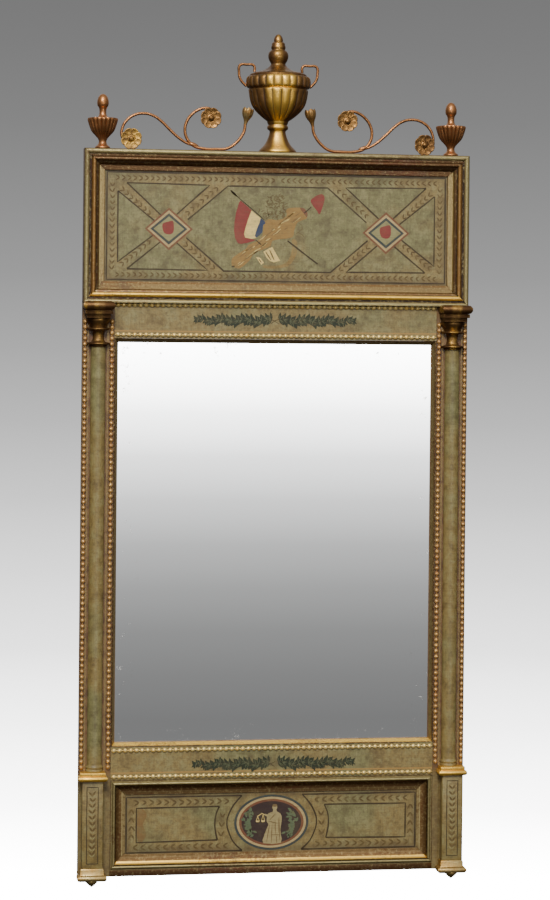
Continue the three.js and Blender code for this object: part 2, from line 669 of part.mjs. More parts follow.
// Scroll centre lines for the right side, [distance from the flower towards the corner,
// height above the box], drawn for this distance from the flower to the corner finial.
const SCROLL_DRAWN = 241;
const SPREAD = (FINIAL_X - BELL_X) / SCROLL_DRAWN;
const spread = (across) => BELL_X + across * SPREAD;
const SCROLL_MAIN = [
  [0, BELL_Z + 2], [1.2, 36], [5.5, 26.5], [15, 14.5], [30, 4.6], [49, WIRE_R + GAP], [72, 3.4], [89, 8.6],
  [99, 20], [102.5, 34], [99.6, 48], [91.6, 60], [80, 68.6], [68, 72], [57.5, 69.6], [50, 61.5],
];
const SCROLL_BRANCH = [
  [84, 6.8], [98, 11.5], [112, 20], [127, 33], [142, 47.5], [155, 56.4], [171, 60.4],
  [188, 57.4], [201, 48], [208.4, 34.5], [209.4, 22], [204, 12.5],
];
const SCROLL_PIN_X = spread(49);
const ROSETTE_PLACES = { inner: [59, 54.8], outer: [193.5, ROSETTE_R + GAP] };

function rosetteGeometry() {
  const profile = [
    [0, 0], [ROSETTE_R * 0.72, 0], [ROSETTE_R, ROSETTE_T * 0.34], [ROSETTE_R * 0.8, ROSETTE_T * 0.6],
    [ROSETTE_R * 0.36, ROSETTE_T * 0.36], [ROSETTE_R * 0.26, ROSETTE_T * 0.86], [0, ROSETTE_T],
  ];
  const flower = lobed(profile, ROSETTE_PETALS, 0.1, ROSETTE_T * 0.7, ROSETTE_R * 0.16);
  return outward(flower.rotateX(Math.PI / 2));
}

function addScrolls() {
  const at = (sign) => ([across, z]) => [sign * spread(across), 0, z];
  const pin = rod(SCROLL_PIN_R, SCROLL_PIN_L + WIRE_R, 8).rotateX(Math.PI / 2);
  pin.translate(0, 0, WIRE_R + GAP - (SCROLL_PIN_L + WIRE_R) / 2);
  const bell = turned(BELL_PROFILE, 12);
  for (const [side, sign] of SIDES) {
    const main = wire(SCROLL_MAIN.map(at(sign)), WIRE_R, WIRE_SIDES, 28);
    const branch = wire(SCROLL_BRANCH.map(at(sign)), WIRE_R, WIRE_SIDES, 20);
    const flower = outward(bell).rotateY(-sign * BELL_TILT).translate(sign * BELL_X, 0, BELL_Z);
    const scroll = joined(main, branch, flower, pin.clone().translate(sign * SCROLL_PIN_X, 0, 0));
    add(`scroll_wire_${side}`, scroll, COPPERY).position.set(0, -CREST_D, TOP_Z);
  }
  const rosette = rosetteGeometry();
  const front = CREST_D + WIRE_R + GAP;
  for (const [place, [across, z]] of Object.entries(ROSETTE_PLACES)) {
    for (const [side, sign] of SIDES) {
      const x = sign * spread(across);
      add(`rosette_${place}_${side}`, rosette, BRIGHT_GILT).position.set(x, -front, TOP_Z + z);
    }
  }
}

// ---------------------------------------------------------------- back frame and rings

const EYE_D = BOARD_BACK - GAP - EYE_R;

// A flat eye on a shank, its hole along X.
function eyeGeometry() {
  const length = BOARD_BACK + EYE_SHANK_L - EYE_D - EYE_HOLE_R - GAP;
  const shank = rod(EYE_SHANK_R, length, 12).translate(0, -EYE_HOLE_R - GAP - length / 2, 0);
  const eye = rod(EYE_R, EYE_T, 24).rotateZ(Math.PI / 2);
  const hole = rod(EYE_HOLE_R, 2 * EYE_T, 24).rotateZ(Math.PI / 2);
  return cut(joined(eye, shank), hole);
}

// A D-shaped ring whose straight bar turns in the eye and whose bow hangs down.
function ringGeometry() {
  const bow = Array.from({ length: 9 }, (_, i) => {
    const angle = (i / 8) * Math.PI;
    return [RING_R * Math.cos(angle), 0, -RING_BOW_DROP - RING_R * Math.sin(angle)];
  });
  const half = RING_R - RING_WIRE_R;
  const drop = RING_BOW_DROP / 3;
  const path = [[half, 0, 0], [RING_R, 0, -drop], ...bow, [-RING_R, 0, -drop], [-half, 0, 0]];
  const bar = rod(RING_WIRE_R, 2 * half + RING_WIRE_R, 16).rotateZ(Math.PI / 2);
  return joined(bar, wire(path, RING_WIRE_R, 8, 26));
}

function addBack() {
  const outer = HALF_W - BATTEN_INSET;
  for (const [side, sign] of SIDES) {
    const batten = board(both(outer - BATTEN_W, outer, sign), [0, BATTEN_T], [BATTEN_FROM_Z, BATTEN_TO_Z]);
    add(`back_batten_${side}`, batten, BARE_WOOD);
  }
  add('hanging_rail', board([-outer, outer], [0, BATTEN_T], [RAIL_FROM_Z, RAIL_TO_Z]), BARE_WOOD);

  const eye = eyeGeometry();
  const ring = ringGeometry();
  for (const [side, sign] of SIDES) {
    add(`screw_eye_${side}`, eye, STEEL).position.set(sign * EYE_X, -EYE_D, EYE_Z);
    add(`hanging_ring_${side}`, ring, STEEL).position.set(sign * EYE_X, -EYE_D, EYE_Z);
  }
}

addCarcass();
addGlazing();
addUpperPanel();
addLowerPanel();
addBeads();
addColumns();
addUrn();
addFinials();
addScrolls();
addBack();

export default mirror;
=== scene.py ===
import math

import bmesh
import bpy
from mathutils import Matrix, Vector, noise


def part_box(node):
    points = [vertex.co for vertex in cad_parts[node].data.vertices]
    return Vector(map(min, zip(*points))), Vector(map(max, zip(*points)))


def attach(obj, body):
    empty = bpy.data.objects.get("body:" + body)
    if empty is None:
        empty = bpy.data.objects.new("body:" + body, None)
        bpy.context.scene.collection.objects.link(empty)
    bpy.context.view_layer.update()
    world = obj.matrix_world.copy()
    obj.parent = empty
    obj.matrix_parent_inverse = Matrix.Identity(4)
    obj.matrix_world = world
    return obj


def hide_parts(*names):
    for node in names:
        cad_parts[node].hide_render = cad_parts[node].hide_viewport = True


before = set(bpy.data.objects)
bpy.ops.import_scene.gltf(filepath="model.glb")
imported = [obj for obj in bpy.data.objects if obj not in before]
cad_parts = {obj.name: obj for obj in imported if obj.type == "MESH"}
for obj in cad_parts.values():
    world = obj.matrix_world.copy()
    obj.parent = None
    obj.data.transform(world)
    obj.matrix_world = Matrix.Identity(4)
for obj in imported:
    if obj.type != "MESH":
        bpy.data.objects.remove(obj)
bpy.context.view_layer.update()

bl_info = {
    "name": "Trumeau mirror",
    "version": (1, 0, 0),
    "blender": (4, 5, 0),
    "location": "3D View > Sidebar > Trumeau mirror",
    "description": "Carves, gilds and paints a trumeau mirror over its measured solids",
    "category": "Object",
}

MM = 0.001
FOOT_Z = -1171            # underside of the plinth bases, below the origin
PHOTO_HEIGHT = 900        # the long side of the photograph's frame, in pixels
SENSOR = 36.0

# ---------------------------------------------------------------- places on the mirror

BODY = "mirror"
BOARD_FACE = 34.3         # distance of the stiles' and friezes' face from the wall
UPPER_FACE = 27.3         # painted face of the upper panel
LOWER_FACE = 26.3         # painted face of the lower panel
PLINTH_FACE = 53.6
PAINT_LIFT = 0.12         # each coat of painting lies this much in front of the last
BOX_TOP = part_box("box_moulding_top")[1].z / MM
SIDES = (("left", -1), ("right", 1))


def spot(across, height, out=0.0):
    """A place, from millimetres right of the middle, above the foot and out from the wall."""
    return Vector((across, -out, height + FOOT_Z)) * MM


def middle_of(node):
    low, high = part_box(node)
    return (low + high) / 2


# ---------------------------------------------------------------- finishes


class Value:
    """A socket of a finish, so that sums on it read as sums."""

    def __init__(self, finish, socket):
        self.finish, self.socket = finish, socket

    def sum(self, operation, *others):
        return self.finish.node("Math", {"operation": operation}, [self, *others])

    def __add__(self, other):
        return self.sum("ADD", other)

    def __mul__(self, other):
        return self.sum("MULTIPLY", other)

    def __sub__(self, other):
        return self.sum("SUBTRACT", other)

    def __rsub__(self, other):
        return self.finish.node("Math", {"operation": "SUBTRACT"}, [other, self])

    def __truediv__(self, other):
        return self.sum("DIVIDE", other)

    def __abs__(self):
        return self.sum("ABSOLUTE")

    __radd__, __rmul__ = __add__, __mul__

    def least(self, other):
        return self.sum("MINIMUM", other)

    def most(self, other):
        return self.sum("MAXIMUM", other)

    def between(self, low, high):
        """0 below low, 1 above high, and a smooth rise between them."""
        settings = {"interpolation_type": "SMOOTHSTEP"}
        return self.finish.node("MapRange", settings, {0: self, 1: low, 2: high, 3: 0.0, 4: 1.0})


class Finish:
    """One material being mixed."""

    def __init__(self, name):
        self.material = bpy.data.materials.new(name)
        self.material.use_nodes = True
        self.tree = self.material.node_tree
        self.tree.nodes.clear()
        self.place = self.node("TexCoord", out="Object")

    def node(self, kind, settings=None, inputs=None, out=0):
        """Adds a node: its settings first, then its sockets' values, colours by name, or links."""
        made = self.tree.nodes.new("ShaderNode" + kind)
        for key, setting in (settings or {}).items():
            if key == "stops":
                ramp = made.color_ramp.elements
                while len(ramp) < len(setting):
                    ramp.new(1.0)
                for element, (position, colour) in zip(ramp, setting):
                    element.position, element.color = position, (*colour, 1.0)
            else:
                setattr(made, key, setting)
        pairs = inputs.items() if isinstance(inputs, dict) else enumerate(inputs or [])
        for key, value in pairs:
            socket = made.inputs[key]
            if isinstance(value, Value):
                self.tree.links.new(value.socket, socket)
            elif isinstance(value, str):
                socket.default_value = (*getattr(colours(), value), 1.0)
            elif socket.type == "RGBA":
                socket.default_value = (*value, 1.0)
            else:
                socket.default_value = value
        return Value(self, made.outputs[out])

    def cloud(self, scale, detail=3.0, stretch=(1, 1, 1), rough=0.55):
        """Smooth noise from 0 to 1 with so many patches to the metre."""
        where = self.node("Mapping", None, {"Vector": self.place, "Scale": stretch})
        inputs = {"Vector": where, "Scale": scale, "Detail": detail, "Roughness": rough}
        return self.node("TexNoise", None, inputs)

    def mix(self, part, first, second):
        """Two colours, with part of the second."""
        return self.node("Mix", {"data_type": "RGBA"}, {0: part, 6: first, 7: second}, out=2)

    def axis(self, name):
        return self.node("SeparateXYZ", None, [self.place], out=name)

    def relief(self, height, depth, strength=1.0):
        return self.node("Bump", None, {"Height": height, "Distance": depth, "Strength": strength})

    def done(self, **sockets):
        """Closes the finish with a Principled shader and returns the material."""
        names = {key.replace("_", " ").title().replace("Ior", "IOR"): value
                 for key, value in sockets.items()}
        shader = self.node("BsdfPrincipled", None, names)
        output = self.tree.nodes.new("ShaderNodeOutputMaterial")
        self.tree.links.new(shader.socket, output.inputs["Surface"])
        return self.material


def colours():
    return bpy.context.scene.mirror_colours


def sizes():
    return bpy.context.scene.mirror_sizes


def sage_ground(finish, green):
    """Colour of the thin sage paint: patchy, streaked by the brush and browned by age."""
    broad = finish.cloud(9, 3).between(0.60 - green * 0.42, 0.82 - green * 0.42)
    patch = finish.cloud(44, 4, rough=0.65)
    small = finish.cloud(120, 4, rough=0.7)
    speck = finish.cloud(300, 3, rough=0.75).between(0.50, 0.66)
    weave = finish.cloud(1, 2, (34, 34, 560)) * 0.5 + finish.cloud(1, 2, (560, 560, 34)) * 0.5
    colour = finish.mix(broad, "ochre_ground", "sage_ground")
    colour = finish.mix(patch.between(0.48, 0.68) * 0.6, colour, "pale_ground")
    colour = finish.mix((1 - patch.between(0.34, 0.50)) * 0.42, colour, "brown_ground")
    colour = finish.mix(small.between(0.50, 0.66) * 0.34, colour, "brown_ground")
    colour = finish.mix((1 - small.between(0.34, 0.46)) * 0.45, colour, "pale_ground")
    colour = finish.mix((1 - weave.between(0.40, 0.58)) * 0.22, colour, "brown_ground")
    return finish.mix(speck * 0.34, colour, "brown_ground")


def paint_relief(finish):
    brush = finish.cloud(1, 2, (60, 60, 520)) * 0.5 + finish.cloud(240, 3, rough=0.6) * 0.5
    return finish.relief(brush, 0.0006, 0.5)


DIRT_AND_SHADE_WIDTH = 0.014        # of the dirt and painted shade beside a moulding
GOLD_LINE_GAP = 0.0012    # between a row of beads and the gold line over it
BACK_SKIN = (0.0030, 0.0024)    # how deep bare wood reaches in from the back, and fades


def behind(finish, node):
    """Where the back of a board is."""
    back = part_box(node)[1].y
    return finish.axis("Y").between(back - BACK_SKIN[0], back - BACK_SKIN[1])


def bare_wood(finish):
    """Brown old pine, streaked along the height."""
    grain = finish.cloud(1, 4, (70, 70, 5)) * 0.7 + finish.cloud(1, 3, (260, 260, 16)) * 0.3
    return finish.mix(grain.between(0.36, 0.62), (0.150, 0.080, 0.035), (0.330, 0.200, 0.100))


def ground_finish(name, green, board=None, lip=0, beads=None):
    """Sage paint on a piece or a board. A board is bare wood behind. Beside mouldings that overlap it
    by a lip, in millimetres, it is darkened with dirt and painted shade, and it has a gold line over its
    lower beads."""
    finish = Finish(name)
    colour = sage_ground(finish, green)
    z = finish.axis("Z")
    if lip:
        low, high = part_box(board)
        lip *= MM
        edge = (high.x - lip - abs(finish.axis("X"))).least(z - low.z - lip).least(high.z - lip - z)
        uneven = edge + finish.cloud(60, 3) * 0.012 - 0.006
        # Dirt and painted shade darken the paint beside the mouldings.
        colour = finish.mix((1 - uneven.between(0.0, DIRT_AND_SHADE_WIDTH)) * 0.45, colour, "brown_ground")
    if beads:
        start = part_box(beads)[1].z + GOLD_LINE_GAP
        line = z + finish.cloud(70, 3) * 0.0006
        line = line.between(start, start + 0.0005) * (1 - line.between(start + 0.0022, start + 0.0028))
        colour = finish.mix(line * 0.8, colour, "worn_gold")
    if board:
        colour = finish.mix(behind(finish, board), colour, bare_wood(finish))
    rough = finish.cloud(40, 3) * 0.25 + 0.36
    return finish.done(base_color=colour, roughness=rough, normal=paint_relief(finish),
                       specular_ior_level=0.5)


STILE_FILLETS = ((0.3190, 0.3218), (0.2856, 0.2886))   # gold edges, from the middle outwards


def stile_finish(name):
    """The boards beside the columns: smoked gilding between the beads, paint beside the plinths."""
    finish = Finish(name)
    x = abs(finish.axis("X")) + finish.cloud(45, 3) * 0.0016 - 0.0008
    z = finish.axis("Z")
    colour = finish.mix(finish.cloud(55, 4).between(0.36, 0.60), "dark_gilt", "brown_gilt")
    colour = finish.mix(finish.cloud(80, 4).between(0.54, 0.70) * 0.6, colour, "old_bole")
    fillet = 0
    for start, end in STILE_FILLETS:
        fillet = x.between(start, start + 0.0006) * (1 - x.between(end - 0.0006, end)) + fillet
    worn = finish.cloud(90, 4).between(0.30, 0.56)
    colour = finish.mix(fillet * worn * 0.8, colour, "tan_gilt")
    cap_low, cap_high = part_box("plinth_cap_left")
    foot = 1 - z.between(cap_low.z - 0.002, cap_high.z)
    colour = finish.mix(foot * 0.92, colour, finish.mix(0.25, sage_ground(finish, 0.35), "brown_ground"))
    colour = finish.mix(behind(finish, "stile_left"), colour, bare_wood(finish))
    return finish.done(base_color=colour, roughness=finish.cloud(60, 3) * 0.3 + 0.35,
                       metallic=fillet * worn * 0.5,
                       normal=finish.relief(finish.cloud(300, 3), 0.0004, 0.4))


def gilding(finish, gold, shade, brightness, scale, soot=None, polish=0.26, leaf=0.86):
    """Water gilding rubbed through to the bole and toned with brown; the optional mask darkens it where dirt
    lies and painted shade falls.
    """
    broad = finish.cloud(9 * scale, 3)
    rubbed = finish.cloud(46 * scale, 4, rough=0.65)
    fine = finish.cloud(210 * scale, 3, rough=0.7)
    bright = (broad * 0.45 + rubbed * 0.55 + (brightness - 0.5)).between(0.36, 0.66)
    colour = finish.mix(bright, shade, gold)
    bole = (rubbed * 0.6 + fine * 0.4).between(0.54, 0.67)
    colour = finish.mix(bole * 0.5, colour, "old_bole")
    colour = finish.mix(fine.between(0.54, 0.76) * 0.35, colour, "brown_ground")
    metal = leaf - bole * 0.5 * leaf
    rough = polish + fine * 0.20 + (1 - bright) * 0.14
    # Dirt and painted shade: darker and less metallic where the mask is.
    if soot is not None:
        colour = finish.mix(soot, colour, "soot")
        metal = metal * (1 - soot * 0.7)
        rough = rough + soot * 0.2
    return finish.done(base_color=colour, roughness=rough, metallic=metal,
                       normal=finish.relief(fine * 0.6 + rubbed * 0.4, 0.0006, 0.5))


def gilt_finish(name, gold, shade, brightness, scale):
    return gilding(Finish(name), gold, shade, brightness, scale)


def pearl_finish(name, gold, shade):
    """Bright crowns, with dirt and painted shade darkening the foot of every pearl."""
    finish = Finish(name)
    out = 0 - finish.axis("Y") - BOARD_FACE * MM
    # Dirt and painted shade darken each pearl towards the board.
    return gilding(finish, gold, shade, 0.58, 3.0, 1 - out.between(0.0004, 0.0024), 0.20, 0.50)


def fluted_finish(name, gold, shade, brightness, node, rows, soot=0.85, flank_shade=0.0):
    """Gilding on a lobed turning, darkened in the valleys with dirt and painted shade, and with painted
    shade on its flanks.
    The urn is half a turning against the wall. rows: lobes, from and to height."""
    finish = Finish(name)
    low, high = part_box(node)
    middle = middle_of(node)
    x, y = abs(finish.axis("X")), finish.axis("Y")
    if node.startswith("urn"):
        y = (y - high.y) / sizes().urn_flatness
    else:
        x, y = x - middle.x, y - middle.y
    z = (finish.axis("Z") - low.z) / MM
    turn = y.sum("ARCTAN2", x)
    # Dirt and painted shade lie in the valleys between the lobes.
    dirt_and_shade = None
    for count, start, end in rows:
        crest = abs((turn * (count / 2)).sum("SINE"))
        row = (1 - crest.between(0.05, 0.50)) * z.between(start, start + 3) * (1 - z.between(end - 2, end))
        dirt_and_shade = row if dirt_and_shade is None else dirt_and_shade + row
    # Painted shade on the flanks of the turning.
    if flank_shade:
        side = abs(turn.sum("COSINE")) + finish.cloud(60, 3) * 0.16 - 0.08
        smoke = side.between(0.26, 0.60) * flank_shade
        gold = finish.mix(smoke, gold, "shaded_flank_gilt")
        shade = finish.mix(smoke, shade, "dark_gilt")
    return gilding(finish, gold, shade, brightness, 1.6, None if dirt_and_shade is None else dirt_and_shade * soot)


def capital_finish(name, node):
    """Gilding with a painted highlight down the middle of the bell and painted shade, red brown, at its
    sides.
    """
    finish = Finish(name)
    aside = abs(finish.axis("X") - middle_of(node).x) + finish.cloud(70, 3) * 0.010 - 0.005
    smoke = aside.between(0.004, 0.011)
    gold = finish.mix(smoke, "bright_gold", "brown_gilt")
    shade = finish.mix(smoke, "brown_gilt", "dark_gilt")
    # Painted highlight: the far ends, such as the ends of the abacus, are bright gold.
    gold = finish.mix(aside.between(0.0205, 0.0240), gold, "bright_gold")
    return gilding(finish, gold, shade, 0.42, 2.0)


# How far the lowest length hangs below the others, and how much of its outer roll is planed away.
LOWER_DROP = {"box_moulding": 2.6}
LOWER_SHIFT = {"box_moulding": 3.0, "panel_moulding": 2.8}


def moulding_reach(prefix):
    """Lowest and highest edge of a moulding frame."""
    low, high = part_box(prefix + "_left")[0].z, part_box(prefix + "_left")[1].z
    return low - LOWER_DROP.get(prefix, 0.0) * MM, high


def rim_distance(finish, prefix):
    """Metres from the outer edge of a moulding frame."""
    x, z = finish.axis("X"), finish.axis("Z")
    low, high = moulding_reach(prefix)
    return (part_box(prefix + "_right")[1].x - abs(x)).least(z - low).least(high - z)


def banded_finish(name, prefix, bands, smoke, start, end):
    """Gilt moulding whose tone changes across it: bands are millimetres from the edge and a tone.
    The lowest length gets a painted highlight between start and end; the number after the bands is the share
    of painted shade inside the upper length's roll."""
    finish = Finish(name)
    width = bands[-1][0]
    z = finish.axis("Z")
    low, high = moulding_reach(prefix)
    rim = rim_distance(finish, prefix)
    lower = 1 - (z - low - rim).between(0.0002, 0.0012)
    edge = rim + finish.cloud(40, 3) * 0.0010 - 0.0005 + lower * (LOWER_SHIFT.get(prefix, 0.0) * MM)
    stops = [(at / width, tuple(getattr(colours(), tone))) for at, tone in bands]
    base = finish.node("ValToRGB", {"stops": stops}, [edge / (width * MM)])
    rubbed = finish.cloud(52, 4, rough=0.65)
    fine = finish.cloud(230, 3, rough=0.7)
    broad = finish.cloud(7, 3)
    # Painted shade darkens the upper length inside its roll; the lowest one keeps a painted highlight, its
    # brightest gold.
    upper = z.between(high - width * MM, high - (width - 1) * MM)
    upper = upper * (1 - (high - z - rim).between(0.0002, 0.0012))
    colour = finish.mix(upper * edge.between(0.0088, 0.0104) * smoke, base, "dark_gilt")
    # Painted highlight on the lowest length: bright gold between start and end, and a lighter brown cove
    # than on the other lengths.
    glow = edge.between(start * MM, (start + 1.2) * MM) * (1 - edge.between((end - 1.2) * MM, end * MM))
    cove = lower * edge.between(end * MM, (end + 1.6) * MM) * (1 - edge.between(0.0262, 0.0272))
    colour = finish.mix(cove * 0.8, colour, "brown_gilt")
    colour = finish.mix(lower * edge.between(0.0262, 0.0272) * 0.45, colour, "brown_gilt")
    colour = finish.mix(lower * glow * 0.95, colour, "glow_gold")
    worn = (rubbed * 0.6 + broad * 0.4).between(0.50, 0.68)
    colour = finish.mix(worn * 0.50, colour, "brown_ground")
    colour = finish.mix((1 - fine.between(0.34, 0.48)) * 0.30, colour, "pale_gilt")
    colour = finish.mix(fine.between(0.52, 0.74) * 0.4, colour, "brown_ground")
    colour = finish.mix((fine * 0.5 + broad * 0.5).between(0.54, 0.62) * 0.4, colour, "old_bole")
    back = behind(finish, prefix + "_left")
    colour = finish.mix(back, colour, bare_wood(finish))
    return finish.done(base_color=colour, roughness=(0.26 + fine * 0.24).most(back * 0.6),
                       metallic=(0.70 - worn * 0.3) * (1 - back),
                       normal=finish.relief(fine * 0.5 + rubbed * 0.5, 0.0006, 0.5))


def pigment(name, colour, wear, thin=0.0, green=0.5):
    """A coat of colour that shows the ground where it is rubbed away."""
    finish = Finish(name)
    ground = sage_ground(finish, green)
    rubbed = finish.cloud(120, 4, rough=0.7).between(0.60 - wear * 0.25, 0.74 - wear * 0.18)
    weave = finish.cloud(1, 2, (34, 34, 560)).between(0.28, 0.66)
    shade = finish.mix((1 - weave) * 0.24, colour, "brown_ground")
    fine = finish.cloud(140, 4, rough=0.7).between(0.45, 0.70)
    shade = finish.mix(fine * 0.22, shade, "brown_ground")
    shade = finish.mix(finish.cloud(55, 3).between(0.45, 0.7) * 0.08, shade, "pale_ground")
    kept = (1 - rubbed * wear) * (1 - thin)
    return finish.done(base_color=finish.mix(kept, ground, shade), roughness=0.5,
                       normal=paint_relief(finish), specular_ior_level=0.4)


def wood_finish(name, pale, deep, along="Z"):
    """Bare wood with its grain along an axis."""
    finish = Finish(name)
    stretch = tuple(3.0 if axis == along else 46.0 for axis in "XYZ")
    grain = finish.cloud(1, 4, stretch, rough=0.6)
    pores = finish.cloud(6, 2, stretch, rough=0.6).between(0.52, 0.7)
    colour = finish.mix(grain.between(0.3, 0.72), deep, pale)
    colour = finish.mix(pores * 0.5, colour, deep)
    colour = finish.mix(finish.cloud(5, 3).between(0.45, 0.75) * 0.4, colour, deep)
    return finish.done(base_color=colour, roughness=finish.cloud(20, 3) * 0.2 + 0.65,
                       normal=finish.relief(grain * 0.6 + pores * 0.4, 0.0008, 0.5))


def steel_finish(name):
    finish = Finish(name)
    rust = finish.cloud(400, 4, rough=0.7).between(0.55, 0.72)
    colour = finish.mix(rust * 0.7, (0.36, 0.34, 0.31), (0.16, 0.07, 0.03))
    return finish.done(base_color=colour, roughness=0.34 + rust * 0.4, metallic=1 - rust * 0.6,
                       normal=finish.relief(finish.cloud(900, 3), 0.0003, 0.4))


SILVER = (0.93, 0.94, 0.94)
GLASS_REBATE = 0.007      # edge of the plate under the sight moulding


def glass_finish(name):
    """Silvered plate with a breath of age in the silver towards its edges."""
    finish = Finish(name)
    x, z = finish.axis("X"), finish.axis("Z")
    low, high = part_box("mirror_glass")
    edge = (high.x - abs(x)).least(z - low.z).least(high.z - z) - GLASS_REBATE
    spots = finish.cloud(70, 5, rough=0.75).between(0.60, 0.70)
    age = (1 - edge.between(0.0, 0.05)) * spots
    colour = finish.mix(age * 0.5, SILVER, (0.30, 0.26, 0.20))
    rough = finish.cloud(5, 3) * 0.012 + 0.012 + age * 0.25
    return finish.done(base_color=colour, roughness=rough, metallic=1.0)


# Tones across the mouldings, in millimetres from the outer edge.
# The darkest bands, in the quirks and at the joins, are dirt and painted shade.
# The pale_gilt lines at the edges of the coves and at the inner edge of the box's roll are painted
# highlights.
BOX_BANDS = [(0, "old_bole"), (0.8, "olive_gilt"), (7.8, "olive_gilt"), (8.4, "pale_gilt"), (9.0, "soot"),
             (12.2, "soot"), (12.8, "amber_gilt"), (20.2, "amber_gilt"), (20.9, "soot"), (23.2, "dark_gilt"),
             (25.6, "brown_gilt"), (26.6, "pale_gilt"), (27.6, "tan_gilt"), (34.4, "tan_gilt"),
             (36, "brown_gilt")]
PANEL_BANDS = [(0, "dark_gilt"), (2.6, "olive_gilt"), (7.4, "olive_gilt"), (8.8, "soot"),
               (10.4, "brown_gilt"), (19.0, "brown_gilt"), (20.4, "pale_gilt"), (21.4, "tan_gilt"),
               (26, "tan_gilt")]
SIGHT_BANDS = [(0, "soot"), (1.6, "brown_gilt"), (3.2, "tan_gilt"), (5.4, "tan_gilt"), (7, "dark_gilt")]


# Pale and deep tone of the bare wood.
PINE = ((0.38, 0.23, 0.115), (0.19, 0.10, 0.043))

# Every finish: what mixes it, and what that is told.
FINISHES = {
    "upper ground": (ground_finish, "tan_upper_panel", 0.36, "upper_panel", 6),
    "lower ground": (ground_finish, "tan_lower_panel", 0.22, "lower_panel", 8),
    "field": (ground_finish, "sage_field", 0.78),
    "low field": (ground_finish, "sage_low_field", 0.50),
    "upper frieze": (ground_finish, "sage_upper_frieze", 0.42, "upper_frieze_board", 0,
                     "beads_upper_frieze_bottom"),
    "lower frieze": (ground_finish, "sage_lower_frieze", 0.34, "lower_frieze_board", 0,
                     "beads_lower_frieze_bottom"),
    "stile": (stile_finish, "stile_bole_and_gilt"),
    "shaft": (ground_finish, "sage_column", 0.46),
    "plinth": (ground_finish, "sage_plinth", 0.34),
    # After the bands: the share of painted shade on the upper length, and where the lowest length's painted
    # highlight starts and ends.
    "box moulding": (banded_finish, "olive_gilt_box_moulding", "box_moulding", BOX_BANDS, 0.97, 12.4, 20.9),
    "panel moulding": (banded_finish, "olive_gilt_panel_moulding", "panel_moulding", PANEL_BANDS,
                       0.7, 9.2, 14.8),
    "sight moulding": (banded_finish, "smoked_sight_moulding", "sight_moulding", SIGHT_BANDS, 0.9, 1.0, 6.8),
    "bead": (pearl_finish, "gilt_pearl", "pearl_gold", "bright_gold"),
    "dim bead": (pearl_finish, "rubbed_pearl", "rubbed_gold", "copper_gold"),
    "bright": (gilt_finish, "bright_gilt", "glow_gold", "bright_gold", 0.56, 1.6),
    "foot": (gilt_finish, "foot_gilt", "pale_gilt", "worn_gold", 0.46, 1.6),
    "petal": (gilt_finish, "petal_gilt", "amber_gilt", "dark_gilt", 0.54, 1.6),
    "gold petal": (gilt_finish, "gold_petal_gilt", "bright_gold", "brown_gilt", 0.46, 2.2),
    "pale gilt": (gilt_finish, "pale_gilt", "pale_gilt", "amber_gilt", 0.44, 2.6),
    "iron": (gilt_finish, "gilt_iron", "copper_gold", "dark_gilt", 0.60, 2.6),
    "capital left": (capital_finish, "capital_gilt_left", "column_shaft_left"),
    "capital right": (capital_finish, "capital_gilt_right", "column_shaft_right"),
    "urn": (fluted_finish, "urn_gilt", "glow_gold", "bright_gold", 0.56, "urn_bowl",
            [(20, 2, 53), (24, 55, 77)], 0.85, 0.9),
    "lid": (fluted_finish, "lid_gilt", "worn_gold", "dark_gilt", 0.52, "urn_lid", [], 0.0, 0.8),
    "cup": (fluted_finish, "cup_gilt", "copper_gold", "dark_gilt", 0.64, "corner_finial_right",
            [(18, 16, 52)], 0.40),
    "wood": (wood_finish, "bare_pine", *PINE),
    "rail": (wood_finish, "bare_pine_rail", *PINE, "X"),
    "card": (wood_finish, "backing_wood", (0.25, 0.16, 0.085), (0.13, 0.075, 0.038)),
    "steel": (steel_finish, "old_steel"),
    "glass": (glass_finish, "silvered_glass"),
    "line": (pigment, "dark_line", "line", 0.15),
    "leaf": (pigment, "ochre_leaf", "leaf_band", 0.5, 0.10, 0.3),
    "laurel": (pigment, "laurel_green", "laurel", 0.25),
    "laurel light": (pigment, "laurel_veins", "laurel_light", 0.4, 0.1),
    "red": (pigment, "madder_red", "red", 0.20),
    "cream": (pigment, "cream", "cream", 0.12),
    "ring": (pigment, "ring_cream", "ring", 0.2),
    "blue": (pigment, "flag_blue", "blue", 0.2),
    "tan": (pigment, "tan_bundle", "tan", 0.35, 0.05),
    "rod": (pigment, "rod_shades", "worn_brown", 0.4, 0.30),
    "sprig": (pigment, "trophy_sprigs", "leaf_band", 0.5, 0.20, 0.6),
    "ribbon": (pigment, "faded_ribbon", "tan", 0.7, 0.45, 0.6),
    "worn red": (pigment, "worn_red", "worn_red", 0.4, 0.15),
    "pale tan": (pigment, "pale_tan", "cream", 0.4, 0.35),
    "worn": (pigment, "rubbed_brown", "worn_brown", 0.6, 0.25),
    "slate": (pigment, "slate_line", "slate", 0.25),
    "pale": (pigment, "pale_centre", "pale_ground", 0.3),
    "night": (pigment, "aubergine", "night", 0.1),
    "robe": (pigment, "robe_cream", "robe", 0.2),
    "robe shade": (pigment, "robe_fold", "robe_shade", 0.3),
    "foliage": (pigment, "medallion_foliage", "foliage", 0.4, 0.05),
}
MIXED = {}


def finish_of(key):
    """Each finish is mixed once, when the first piece asks for it."""
    if key not in MIXED:
        mixer, *told = FINISHES[key]
        MIXED[key] = mixer(*told)
    return MIXED[key]


# ---------------------------------------------------------------- making pieces

WELD = 2e-6               # metres within which vertices are one
CUSP = 0.6                # how sharply two lobes meet


def placed(bm, name):
    """The object of a bmesh, in the scene."""
    mesh = bpy.data.meshes.new(name)
    bm.to_mesh(mesh)
    bm.free()
    made = bpy.data.objects.new(name, mesh)
    bpy.context.collection.objects.link(made)
    return made


